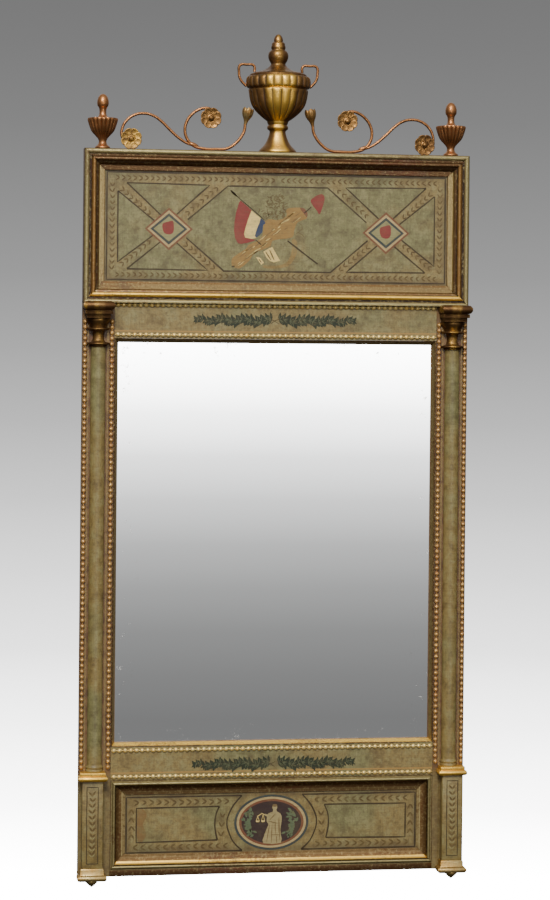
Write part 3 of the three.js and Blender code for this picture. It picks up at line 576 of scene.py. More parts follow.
def settle(bm, name, finish, nodes=(), sharp=38):
    """Closes a mesh, smooths all but its sharp edges and puts the piece on the mirror."""
    bmesh.ops.remove_doubles(bm, verts=bm.verts, dist=WELD)
    bmesh.ops.recalc_face_normals(bm, faces=bm.faces)
    for face in bm.faces:
        face.smooth = True
    for edge in bm.edges:
        edge.smooth = edge.calc_face_angle(0.0) < math.radians(sharp)
    piece = placed(bm, name)
    piece.data.materials.append(finish_of(finish))
    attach(piece, BODY)
    if nodes:
        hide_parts(*nodes)


def dress(finish, *nodes):
    """Gives CAD nodes that already have their shape a finish."""
    for node in nodes:
        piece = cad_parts[node]
        if not piece.material_slots:
            piece.data.materials.append(None)
        for holder in piece.material_slots:
            holder.material = finish_of(finish)


def softened(node, finish, round_off):
    """A copy of a CAD node with its corners merged and its sharp edges rounded."""
    bm = bmesh.new()
    bm.from_mesh(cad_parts[node].data)
    bmesh.ops.remove_doubles(bm, verts=bm.verts, dist=1e-5)
    bmesh.ops.dissolve_limit(bm, angle_limit=math.radians(0.6), verts=bm.verts, edges=bm.edges)
    sharp = [edge for edge in bm.edges if edge.calc_face_angle(0.0) > math.radians(38)]
    round_edges(bm, sharp, round_off, clamp_overlap=True)
    settle(bm, node + "_worn", finish, [node], 45)


def round_edges(bm, edges, off, **settings):
    bmesh.ops.bevel(bm, geom=edges, offset=off * MM, offset_type="OFFSET", affect="EDGES", segments=2,
                    profile=0.5, material=-1, **settings)


def curved(points, steps=4, closed=False):
    """Points on a smooth line through the given ones. A point given twice stays a corner."""
    if closed:
        ring = [*points[-1:], *points, *points[:2]]
    else:
        ring = [points[0], *points, points[-1]]
    made = []
    for a, b, c, d in zip(ring, ring[1:], ring[2:], ring[3:]):
        for i in range(steps if b != c else 0):
            t = i / steps
            made.append(tuple(
                0.5 * (2 * q + (r - p) * t + (2 * p - 5 * q + 4 * r - s) * t * t
                       + (3 * q - p - 3 * r + s) * t ** 3)
                for p, q, r, s in zip(a, b, c, d)))
    return made if closed else [*made, tuple(points[-1])]


def chain(bm, points):
    """Vertices joined in a line."""
    verts = [bm.verts.new(point) for point in points]
    edges = [bm.edges.new(pair) for pair in zip(verts, verts[1:])]
    return [*verts, *edges]


def turned(bm, profile, steps, half=False):
    """Spins [radius, height] pairs about a standing axis and returns the vertices.
    A half turning faces the front and is closed flat behind."""
    line = chain(bm, [Vector((-r, 0, h)) * MM for r, h in profile])
    sweep = math.pi if half else math.tau
    bmesh.ops.spin(bm, geom=line, cent=(0, 0, 0), axis=(0, 0, 1), dvec=(0, 0, 0), angle=sweep,
                   steps=steps, use_merge=not half, use_duplicate=False)
    bmesh.ops.remove_doubles(bm, verts=bm.verts, dist=WELD)
    if half:
        close_holes(bm, [edge for edge in bm.edges if edge.is_boundary])
    return bm.verts


def close_holes(bm, edges):
    bmesh.ops.holes_fill(bm, edges=edges, sides=0)


def flute(verts, count, depth, low, high, fade):
    """Draws the skin of a turning in between its lobes, fading out at both ends."""
    for v in verts:
        radius = math.hypot(v.co.x, v.co.y)
        height = v.co.z / MM
        if radius < 1e-5 or not low <= height <= high:
            continue
        ends = min(1.0, (height - low) / fade, (high - height) / fade)
        crest = abs(math.sin(count * math.atan2(v.co.y, v.co.x) / 2)) ** CUSP
        v.co.xy *= 1 - min(depth * MM, radius * 0.2) * (1 - crest) * ends / radius


def moved(bm, verts, matrix):
    bmesh.ops.transform(bm, matrix=matrix, verts=verts)


def tube(points, radius, taper=None):
    """A wire along a smooth line, as a bmesh. taper gives the share of the radius at each point."""
    curve = bpy.data.curves.new("wire", "CURVE")
    curve.dimensions = "3D"
    curve.bevel_depth = radius * MM
    curve.bevel_resolution = 2
    curve.resolution_u = 6
    curve.use_fill_caps = True
    spline = curve.splines.new("BEZIER")
    spline.bezier_points.add(len(points) - 1)
    for i, (knot, point) in enumerate(zip(spline.bezier_points, points)):
        knot.co = Vector(point) * MM
        knot.handle_left_type = knot.handle_right_type = "AUTO"
        knot.radius = taper[i] if taper else 1.0
    holder = bpy.data.objects.new("wire", curve)
    bpy.context.collection.objects.link(holder)
    bm = bmesh.new()
    bm.from_mesh(holder.to_mesh())
    holder.to_mesh_clear()
    bpy.data.objects.remove(holder)
    bpy.data.curves.remove(curve)
    bmesh.ops.remove_doubles(bm, verts=bm.verts, dist=WELD)
    return bm


def joined(bm, other):
    """Adds another bmesh's faces to this one."""
    mesh = bpy.data.meshes.new("part")
    other.to_mesh(mesh)
    other.free()
    bm.from_mesh(mesh)
    bpy.data.meshes.remove(mesh)


# ---------------------------------------------------------------- mouldings


def arc(centre, radii, start, end, steps):
    """Points on part of an ellipse, angles in degrees."""
    turn = [math.radians(start + (end - start) * i / steps) for i in range(steps + 1)]
    return [(centre[0] + radii[0] * math.cos(a), centre[1] + radii[1] * math.sin(a)) for a in turn]


def box_outline():
    """Section of the deep box: outer roll, quirk, bead, cove and fillet."""
    return [
        (0, 0), (30, 0), (30, 11.3), (36, 11.3), (36, 12.4), *arc((34.8, 12.6), (1.2, 1.2), 0, 90, 3),
        (27.0, 14.0), *curved([(27.0, 14.0), (26.0, 17.8), (24.2, 20.0), (22.2, 20.8)], 4)[1:],
        (22.2, 22.0), (20.8, 22.4), *arc((16.8, 23.4), (4.0, 4.3), 0, 180, 12), (12.4, 24.2),
        (8.9, 24.4), *arc((4.4, 24.6), (4.4, 3.4), 0, 180, 10),
    ]


def lower_outline():
    """Section of the frame below the glass: strip, roll, cove and fillet."""
    return [
        (0, 0), (18, 0), (18, 10.3), (26, 10.3), (26, 11.3), *arc((25.2, 11.2), (0.8, 0.7), 0, 90, 3),
        (21.5, 11.8), *curved([(21.5, 11.8), (14.5, 13.0), (10.6, 15.6), (8.8, 18.6)], 5)[1:],
        *arc((5.8, 18.9), (2.8, 3.1), 0, 180, 10), (3, 18), (0, 18),
    ]


def sight_outline():
    """Section of the slip round the glass, sloping down to it."""
    return [(0, 0), (7, 0), (7, 1.1), (6.6, 1.6), (2.2, 10.4), (1.6, 11.2), (0.9, 11.7), (0, 11.7)]


MITRE_GAP = 0.3
PLANED = 29.9             # points of a section further in than this stay where they are
STRIP_DEPTH, STRIP_OUT = 18, 25.3      # of the strip, and how far its middle is from the wall


def sliced(bm, place, ahead):
    """Cuts off what lies ahead of a plane and closes the cut."""
    cut = bmesh.ops.bisect_plane(bm, geom=[*bm.verts, *bm.edges, *bm.faces], dist=1e-7, plane_co=place,
                                 plane_no=ahead, clear_outer=True)
    close_holes(bm, [e for e in cut["geom_cut"] if isinstance(e, bmesh.types.BMEdge)])


def mitred_length(outline, length, inset, turn, middle, back):
    """One length of moulding, cut at forty-five degrees at both ends."""
    bm = bmesh.new()
    section = [bm.verts.new(Vector((-length / 2, -b, a - inset)) * MM) for a, b in outline]
    face = bm.faces.new(section)
    drawn = bmesh.ops.extrude_face_region(bm, geom=[face])["geom"]
    ends = [v for v in drawn if isinstance(v, bmesh.types.BMVert)]
    bmesh.ops.translate(bm, verts=ends, vec=(length * MM, 0, 0))
    for side in (-1, 1):
        at = Vector((side * (length / 2 - MITRE_GAP / math.sqrt(2)), 0, -inset)) * MM
        sliced(bm, at, Vector((side, 0, 1)).normalized())
    place = Matrix.Translation(Vector((0, -back * MM, middle * MM))) @ Matrix.Rotation(turn, 4, "Y")
    moved(bm, bm.verts, place)
    return bm


def planed(outline, shift):
    """A section with that much of its outer roll gone."""
    return [(across if across > PLANED else max(0.0, across - shift), out) for across, out in outline]


def moulding_frame(prefix, outline, back, under=None):
    """Four mitred lengths in place of the CAD nodes of that name, the lowest one dropped a little."""
    left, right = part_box(prefix + "_left"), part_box(prefix + "_right")
    width, high = (right[1].x - left[0].x) / MM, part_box(prefix + "_top")[1].z / MM
    low = left[0].z / MM - MITRE_GAP / math.sqrt(2) - LOWER_DROP.get(prefix, 0.0)
    middle = (low + high) / 2
    lengths = {
        "bottom": (width, (high - low) / 2, 0.0),
        "top": (width, (high - low) / 2, math.pi),
        "left": (high - low, width / 2, math.pi / 2),
        "right": (high - low, width / 2, -math.pi / 2),
    }
    for side, (length, inset, turn) in lengths.items():
        lowest = side == "bottom"
        line = planed(outline, LOWER_SHIFT.get(prefix, 0.0)) if lowest else outline
        bm = mitred_length(line, length, inset, turn, middle, back)
        if lowest and under:
            under(bm)
        node = f"{prefix}_{side}"
        settle(bm, node + "_carved", prefix.replace("_", " "), [node])


def bottom_strip(bm):
    """The plain strip under the lower frame, part of its lowest length."""
    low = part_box("panel_moulding_bottom")[0]
    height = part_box("panel_moulding_left")[0].z / MM - 0.5 - low.z / MM
    made = bmesh.ops.create_cube(bm, size=1.0)["verts"]
    size = Vector((2 * abs(low.x) / MM, STRIP_DEPTH, height)) * MM
    place = Matrix.Translation(Vector((0, -STRIP_OUT, low.z / MM + height / 2)) * MM)
    moved(bm, made, place @ Matrix.Diagonal((*size, 1)))
    round_edges(bm, list({e for v in made for e in v.link_edges}), 0.5)


# ---------------------------------------------------------------- pearl beads


THREAD_RADIUS = 1.6 * MM
STILE_BEADS, FRIEZE_BEADS = 80, 58     # beads in a row


def bead_row(node, count, finish):
    """Half beads strung on a thin carved thread, in place of the CAD row."""
    low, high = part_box(node)
    standing = high.z - low.z > high.x - low.x
    along = 2 if standing else 0
    start, length = low[along], high[along] - low[along]
    centre = (low + high) / 2
    centre.y = high.y
    bm = bmesh.new()
    for i in range(count):
        at = centre.copy()
        at[along] = start + (i + 0.5) * length / count
        bmesh.ops.create_uvsphere(bm, u_segments=10, v_segments=8, radius=sizes().bead_radius,
                                  matrix=Matrix.Translation(at))
    turn = Matrix.Identity(4) if standing else Matrix.Rotation(math.pi / 2, 4, "Y")
    bmesh.ops.create_cone(bm, cap_ends=True, segments=8, radius1=THREAD_RADIUS, radius2=THREAD_RADIUS,
                          depth=length, matrix=Matrix.Translation(centre) @ turn)
    sliced(bm, centre, Vector((0, 1, 0)))
    settle(bm, node + "_pearls", finish, [node], 60)


# ---------------------------------------------------------------- columns


def shaft_outline(height):
    """Section of a shaft, with a moulded ring at its foot."""
    ring = [(14.2, 0.6), (14.2, 3.4), (13.4, 4.6), (14.4, 5.0), (15.0, 6.8), (14.4, 8.6), (12.7, 10),
            (12.6, 12)]
    return [(0, 0), (14.2, 0), *ring, (12.6, height), (0, height)]


CAPITAL_OUTLINE = [
    (0, 0), (13.6, 0), *arc((13.6, 1.6), (1.4, 1.6), -90, 90, 5), (14.6, 3.4),
    *arc((18.0, 5.4), (2.2, 2.0), -90, 90, 6), (14.6, 7.6), (12.4, 8.4), (10.4, 10.6), (9.4, 14.5),
    (9.2, 20), (10.0, 25), (11.8, 27.6), *arc((18.0, 30.0), (2.0, 2.0), -90, 90, 6), (14.4, 32.4),
    (14.8, 34.5), (17.2, 38.6), (20.0, 42.0), (21.3, 45.2), (20.9, 47.2), (19.8, 47.7), (0, 47.7),
]


# ---------------------------------------------------------------- crest

URN_FOOT = [
    (0, 0.3), (32.4, 0.3), (32.6, 1.4), (32.0, 3.0), (29.0, 6.6), (25.4, 10.0), (21.6, 14.6), (18.6, 20),
    (16.0, 26), (14.2, 32), (13.6, 36), (14.6, 38.0), (17.2, 39.6), (18.2, 42.0), (17.9, 44.6),
    (16.4, 46.2), (16.0, 47.4), (17.0, 48.8), (17.9, 51.0), (18.4, 53), (0, 53),
]
URN_BOWL = [
    (0, 0), (18.5, 0), (19.6, 1.2), (23.6, 3.6), (29.6, 8.0), (35.2, 12.8), (39.8, 17.4), (43.6, 22.4),
    (46.6, 27.4), (48.6, 33.0), (50.2, 40.0), (51.2, 47.0), (51.6, 52.0), (51.2, 53.2), (49.8, 54.0),
    (50.0, 55.2), (52.8, 56.0), (54.8, 57.6), (55.7, 60.0), (56, 64), (56, 68), (55.4, 72.0),
    (54.0, 74.8), (51.2, 76.2), (50.0, 76.5), (0, 76.5),
]
URN_LID = [
    (0, 0), (49, 0), (49.2, 1.2), (48.0, 3.0), (45.2, 4.6), (41.2, 5.8), (34.6, 7.4), (27.0, 9.5),
    (20.4, 12.6), (16.2, 15.6), (13.4, 18.6), (12.3, 20.9), (13.0, 22.8), (15.2, 26.2), (16.9, 30.6),
    (17.4, 35.2),
    (16.6, 39.6), (14.4, 42.8), (12.0, 44.4), (11.5, 46.0), (12.2, 47.4), (12.4, 50.0), (11.6, 52.4),
    (11.2, 54.0), (11.2, 56.0), (9.6, 57.8), (7.7, 58.8), (7.9, 61.4), (7.2, 65.2), (5.0, 69.4), (2.4, 71.5),
    (0, 72),
]
FINIAL = [
    (0, 0.3), (12.6, 0.3), (12.9, 1.4), (12.3, 3.0), (9.6, 5.0), (7.4, 7.4), (6.4, 10.6), (6.6, 13.6),
    (8.4, 17.0), (12.4, 21.6), (16.4, 25.6), (19.4, 29.6), (21.4, 34.2), (23.6, 40.4), (25.3, 46.2),
    (25.8, 49.4), (25.0, 50.6), (21.4, 50.8), (12.6, 51.4), (8.2, 53.2), (6.2, 56.6), (5.7, 61.2),
    (6.0, 66.0), (7.2, 69.4), (9.0, 71.6), (9.8, 75.4), (9.6, 80.0), (8.2, 85.2), (5.4, 89.6), (2.4, 91.4),
    (0, 91.6),
]


# Lobes: how many, how deep, from and to what height, and over what height they fade.
BOWL_LOBES = [(20, 3.2, 3, 53.4, 5.0), (24, 2.6, 55.4, 76.4, 3.0)]
CUP_LOBES = (18, 3.0, 18, 51.2, 4.0)


def urn_part(node, outline, finish, lobes=()):
    """A half-round turning of the urn, as deep as the box top allows."""
    bm = bmesh.new()
    made = turned(bm, outline, 96, half=True)
    for lobe in lobes:
        flute(made, *lobe)
    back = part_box("urn_bowl")[1].y
    rest = BOX_TOP * MM if node == "urn_foot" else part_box(node)[0].z
    flatten = Matrix.Diagonal((1, sizes().urn_flatness, 1, 1))
    moved(bm, bm.verts, Matrix.Translation((0, back, rest)) @ flatten)
    settle(bm, node + "_gilded", finish, [node], 50)


HANDLE_LINE = [
    (41.2, 6.9), (41.2, 15.4), (43.6, 18.3), (54, 18.9), (64.6, 18.3), (67.3, 15.4), (67.6, 5.9),
    (66.6, -2.6), (63.2, -9.2), (58.6, -14.4), (54.4, -18.0),
]
HANDLE_WIRE, SCROLL_WIRE, BRANCH_WIRE = 2.3, 2.6, 2.5      # radii
WIRE_GAP = 0.3                         # between the wires and the rosettes before them
WIRE_TIP = [0.95, 0.85, 0.7]           # share of the radius at a wire's last points
BELL_FOOT = (58.0, 45.5)
BELL_LEAN = 0.2
LEAF_PLACE = (88, 9.6)                 # along the scroll, with the size and the slope of the leaf there
LEAF_SIZE = (9.5, 3.0, 3.6)
LEAF_SLOPE = math.atan2(5.0, 14.0)
SCROLL_LINE = [
    (0, 47.5), (1.2, 36), (5.5, 26.5), (15, 14.5), (30, 4.6), (49, 2.9), (72, 3.4), (89, 8.6),
    (99, 20), (102.5, 34), (99.6, 48), (91.6, 60), (80, 68.6), (68, 72), (57.5, 69.6), (50, 61.5),
]
BRANCH_LINE = [
    (84, 6.8), (98, 11.5), (112, 20), (127, 33), (142, 47.5), (155, 56.4), (171, 60.4),
    (188, 57.4), (201, 48), (208.4, 34.5), (209.4, 22), (204, 12.5),
]


def scroll(side, sign):
    """One wire scroll with its branch, the bellflower it springs from and a small leaf."""
    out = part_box(f"rosette_inner_{side}")[1].y / MM + WIRE_GAP + SCROLL_WIRE

    def along(points):
        return [(sign * (BELL_FOOT[0] + a), out, BOX_TOP + z) for a, z in points]

    main = tube(along(SCROLL_LINE), SCROLL_WIRE, [1.0] * 13 + WIRE_TIP)
    joined(main, tube(along(BRANCH_LINE), BRANCH_WIRE, [0.5, 0.9] + [1.0] * 7 + WIRE_TIP))
    # A leaf lies along the wire where the branch leaves it.
    leaf = bmesh.new()
    bmesh.ops.create_uvsphere(leaf, u_segments=12, v_segments=8, radius=MM)
    place = (Matrix.Translation(Vector(along([LEAF_PLACE])[0]) * MM)
             @ Matrix.Rotation(-sign * LEAF_SLOPE, 4, "Y") @ Matrix.Diagonal((*LEAF_SIZE, 1)))
    moved(leaf, leaf.verts, place)
    joined(main, leaf)
    settle(main, f"scroll_{side}", "iron", [f"scroll_wire_{side}"], 50)
    flower = bellflower()
    place = (Matrix.Translation(Vector((sign * BELL_FOOT[0], out, BOX_TOP + BELL_FOOT[1])) * MM)
             @ Matrix.Rotation(-sign * BELL_LEAN, 4, "Y"))
    moved(flower, flower.verts, place)
    settle(flower, f"bellflower_{side}", "pale gilt", sharp=60)


BELL_OUTLINE = [
    (0, 0), (2.6, 0), (3.0, 3), (3.9, 6.4), (5.6, 10), (7.6, 13.4), (9.0, 17), (9.8, 21), (9.9, 25),
    (9.2, 27.4), (8.4, 29), (7.0, 27), (5.6, 23.5), (0, 20),
]


def bellflower():
    """Calyx and five pointed petals, opening upwards, with a groove down each petal."""
    bm = bmesh.new()
    for v in turned(bm, BELL_OUTLINE, 80):
        height, radius = v.co.z / MM, math.hypot(v.co.x, v.co.y) / MM
        if radius < 2.5 or height < 4:
            continue
        turn = 2.5 * math.atan2(v.co.y, v.co.x) + 0.6
        tip = abs(math.cos(turn))
        rise = max(0.0, (height - 12) / 19.6)
        v.co.z -= (1 - tip) * 3.2 * rise * MM
        groove = 0.08 * (1 - tip) ** 2 + 0.03 * math.exp(-((tip - 1) * 12) ** 2)
        v.co.xy *= 1 - groove * min(1.0, height / 12)
    return bm


def rosette(node):
    """Cupped petals round a domed boss, on a small disc."""
    low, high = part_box(node)
    centre = (low + high) / 2
    radius = (high.z - low.z) / 2 * 1.08
    depth = high.y - low.y
    bm = bmesh.new()
    petals = sizes().rosette_petals
    for i in range(petals):
        made = bmesh.ops.create_uvsphere(bm, u_segments=12, v_segments=8, radius=1.0)["verts"]
        for v in made:
            x, y, z = v.co
            cup = 0.16 * (1 - x * x - z * z)
            v.co = Vector((x * 0.37 * (1 + 0.25 * z), y * 0.13 + cup - 0.05 * z, z * 0.34 + 0.655))
        turn = Matrix.Rotation(math.tau * (i + 0.5) / petals, 4, "Y")
        place = Matrix.Translation(centre + Vector((0, depth * 0.10, 0)))
        moved(bm, made, place @ turn @ Matrix.Scale(radius, 4))
    boss = Matrix.Diagonal((radius * 0.25, depth * 0.40, radius * 0.25, 1))
    bmesh.ops.create_uvsphere(bm, u_segments=20, v_segments=12, radius=1.0,
                              matrix=Matrix.Translation(centre - Vector((0, depth * 0.10, 0))) @ boss)
    place = Matrix.Translation(Vector((centre.x, high.y - depth * 0.15, centre.z)))
    bmesh.ops.create_cone(bm, cap_ends=True, segments=32, radius1=radius * 0.6, radius2=radius * 0.5,
                          depth=depth * 0.3, matrix=place @ Matrix.Rotation(math.pi / 2, 4, "X"))
    finish = "gold petal" if "outer_left" in node else "petal"
    settle(bm, node + "_petals", finish, [node], 60)


# ---------------------------------------------------------------- painting

STROKE_STEP = 9.0         # length of a stroke's parts, in millimetres
HAIR, HAIRS = 0.008, 7    # step between neighbouring shapes of a coat, and how many steps there are
# A leaf's outline: shares of its length and of its width.
LEAF_MARKS = ((0, 0), (0.22, 0.42), (0.5, 0.5), (0.78, 0.3), (1, 0), (0.78, -0.3), (0.5, -0.5),
              (0.22, -0.42))


class Brush:
    """Collects the strokes of one colour on one flat face."""

    def __init__(self, face, number=1):
        self.bm = bmesh.new()
        self.out = face + PAINT_LIFT * number
        self.layer = 0

    def at(self, point):
        # Neighbouring shapes of a coat lie a hair apart, so that they may overlap.
        return spot(point[0], point[1], self.out + HAIR * (self.layer % HAIRS))

    def stroke(self, points, width, wobble=0.25, taper=False):
        """A brush line through the points, drawn freehand by extruding its short first edge."""
        points = [Vector(point) for point in points]
        spaced = [points[0]]
        for a, b in zip(points, points[1:]):
            parts = max(1, round((b - a).length / STROKE_STEP))
            spaced += [a.lerp(b, (i + 1) / parts) for i in range(parts)]
        ends = edge = None
        for i, point in enumerate(spaced):
            ahead = (spaced[min(i + 1, len(spaced) - 1)] - spaced[max(i - 1, 0)]).normalized()
            side = Vector((-ahead.y, ahead.x))
            shake = noise.noise(Vector((point.x * 0.08, point.y * 0.08, width)))
            load = noise.noise(Vector((point.x * 0.05, 7.0, point.y * 0.05)))
            half = width / 2 * (1 + 0.35 * load)
            if taper:
                half *= max(0.15, math.sin(math.pi * (i + 0.35) / (len(spaced) - 0.3)))
            centre = point + side * shake * wobble
            if edge is None:
                ends = [self.bm.verts.new((0, 0, 0)) for _ in range(2)]
                edge = self.bm.edges.new(ends)
            else:
                grown = bmesh.ops.extrude_edge_only(self.bm, edges=[edge])["geom"]
                verts = [v for v in grown if isinstance(v, bmesh.types.BMVert)]
                edge = next(e for e in grown if isinstance(e, bmesh.types.BMEdge)
                            and set(e.verts) == set(verts))
                if not any(e.other_vert(verts[0]) is ends[0] for e in verts[0].link_edges):
                    verts.reverse()
                ends = verts
            ends[0].co, ends[1].co = self.at(centre - side * half), self.at(centre + side * half)

    def shape(self, points, smooth=0):
        """A filled outline, rounded between its points where smooth steps are given."""
        self.layer += 1
        outline = curved(points, smooth, closed=True) if smooth else points
        self.bm.faces.new([self.bm.verts.new(self.at(p)) for p in outline])

    def leaf(self, point, angle, length, width):
        """A pointed leaf growing from the point, at an angle in degrees from the right."""
        turn = math.radians(angle)
        ahead = Vector((math.cos(turn), math.sin(turn)))
        side = Vector((-ahead.y, ahead.x))
        base = Vector(point)
        self.shape([base + ahead * (length * a) + side * (width * b) for a, b in LEAF_MARKS])

    def disc(self, centre, rx, rz, steps=48):
        place = (Matrix.Translation(self.at(centre)) @ Matrix.Rotation(math.pi / 2, 4, "X")
                 @ Matrix.Diagonal((rx * MM, rz * MM, 1, 1)))
        bmesh.ops.create_circle(self.bm, cap_ends=True, segments=steps, radius=1.0, matrix=place)

    def done(self, name, finish):
        """Gives the coat its small thickness, so that it is a closed body of its own."""
        bmesh.ops.recalc_face_normals(self.bm, faces=self.bm.faces)
        for face in self.bm.faces:
            if face.normal.y > 0:
                face.normal_flip()
        bmesh.ops.solidify(self.bm, geom=self.bm.faces[:], thickness=PAINT_LIFT * 0.5 * MM)
        settle(self.bm, name, finish)


def coat(name, finish, number, *outlines, smooth=0, face=UPPER_FACE):
    """One coat of filled outlines on a face."""
    brush = Brush(face, number)
    for outline in outlines:
        brush.shape(outline, smooth)
    brush.done(name, finish)


def mirrored(points):
    return [(-x, h) for x, h in points]


def garland(brush, start, end, pitch=9.6, length=8.6, width=2.9, spread=33):
    """Pairs of leaves along a line, pointing the way it is drawn."""
    a, b = Vector(start), Vector(end)
    count = max(1, int((b - a).length / pitch))
    angle = math.degrees(math.atan2(b.y - a.y, b.x - a.x))
    for i in range(count):
        at = a.lerp(b, (i + 0.9) / count)
        sway = noise.noise(Vector((at.x * 0.1, at.y * 0.1, 3.0))) * 14
        for turn in (-1, 1):
            brush.leaf(at, angle + 180 + turn * spread + sway, length * (1 + 0.015 * sway), width)


# The upper panel: border line, two triangle-framed lozenges and a long eight-sided field.
BORDER = [(-290.6, 1187.6), (290.6, 1187.6), (290.6, 1006.6), (-290.6, 1006.6)]
TRIANGLES = (
    [(-257, 1169.6), (-117, 1168.0), (-187, 1104.7)],
    [(-272, 1155.8), (-195.8, 1094.8), (-272, 1036)],
    [(-256, 1024.8), (-119, 1024.0), (-186.4, 1081.8)],
)
# Where each garland starts and ends, on the right.
GARLANDS = (
    [(278, 1178.2), (4, 1178.2)], [(278, 1014.8), (4, 1014.8)], [(281.4, 1172), (281.4, 1022)],
    [(268, 1162), (216, 1116)], [(268, 1030), (216, 1073)], [(158, 1117), (102, 1165)],
    [(160, 1070), (106, 1026)],
)
FIELD = [(-153.6, 1109.0), (-85.6, 1167.2), (85.6, 1167.2), (153.6, 1109.0)]
FIELD_LOW = [(-156.0, 1078.6), (-91.6, 1023.2), (91.6, 1023.2), (156.0, 1078.6)]
LOZENGES = ((-185.6, 1093.0), (187.6, 1091.8))
CAP = [(-11, 2), (-10, 9), (-2, 12), (6.5, 13.5), (8.4, 5), (7.6, -5), (1.6, -9.4), (-7.6, -7)]


def lozenge(middle, grow):
    x, h = middle
    wide, high = 40.8 + grow, 36 + grow
    return [(x - wide, h), (x, h + high), (x + wide, h), (x, h - high)]


def paint_upper_panel():
    """Border, fields, leaves and lozenges."""
    face = UPPER_FACE
    thin = sizes().line_width
    fields, lines = Brush(face, 1), Brush(face, 2)
    lines.stroke([*BORDER, BORDER[0]], thin)
    for flip in (list, mirrored):
        for triangle in TRIANGLES:
            fields.shape(flip(triangle))
            lines.stroke(flip([*triangle, triangle[0]]), thin)
    fields.shape([*FIELD, *reversed(FIELD_LOW)])
    fields.done("upper_panel_fields", "field")
    lines.stroke(FIELD, thin)
    lines.stroke(FIELD_LOW, thin)
    lines.done("upper_panel_lines", "line")

    leaves = Brush(face, 2)
    for flip in (mirrored, list):
        for ends in GARLANDS:
            garland(leaves, *flip(ends))
    leaves.done("upper_panel_leaves", "leaf")

    tones = (("worn red", 0), ("ring", -4.4), ("slate", -9.4), ("pale", -14.9))
    for number, (finish, grow) in enumerate(tones, 2):
        coat("lozenge_" + finish.replace(" ", "_"), finish, number,
             *[lozenge(middle, grow) for middle in LOZENGES])
    coat("lozenge_caps", "red", 6, *[[(x + a, h + b) for a, b in CAP] for x, h in LOZENGES], smooth=3)


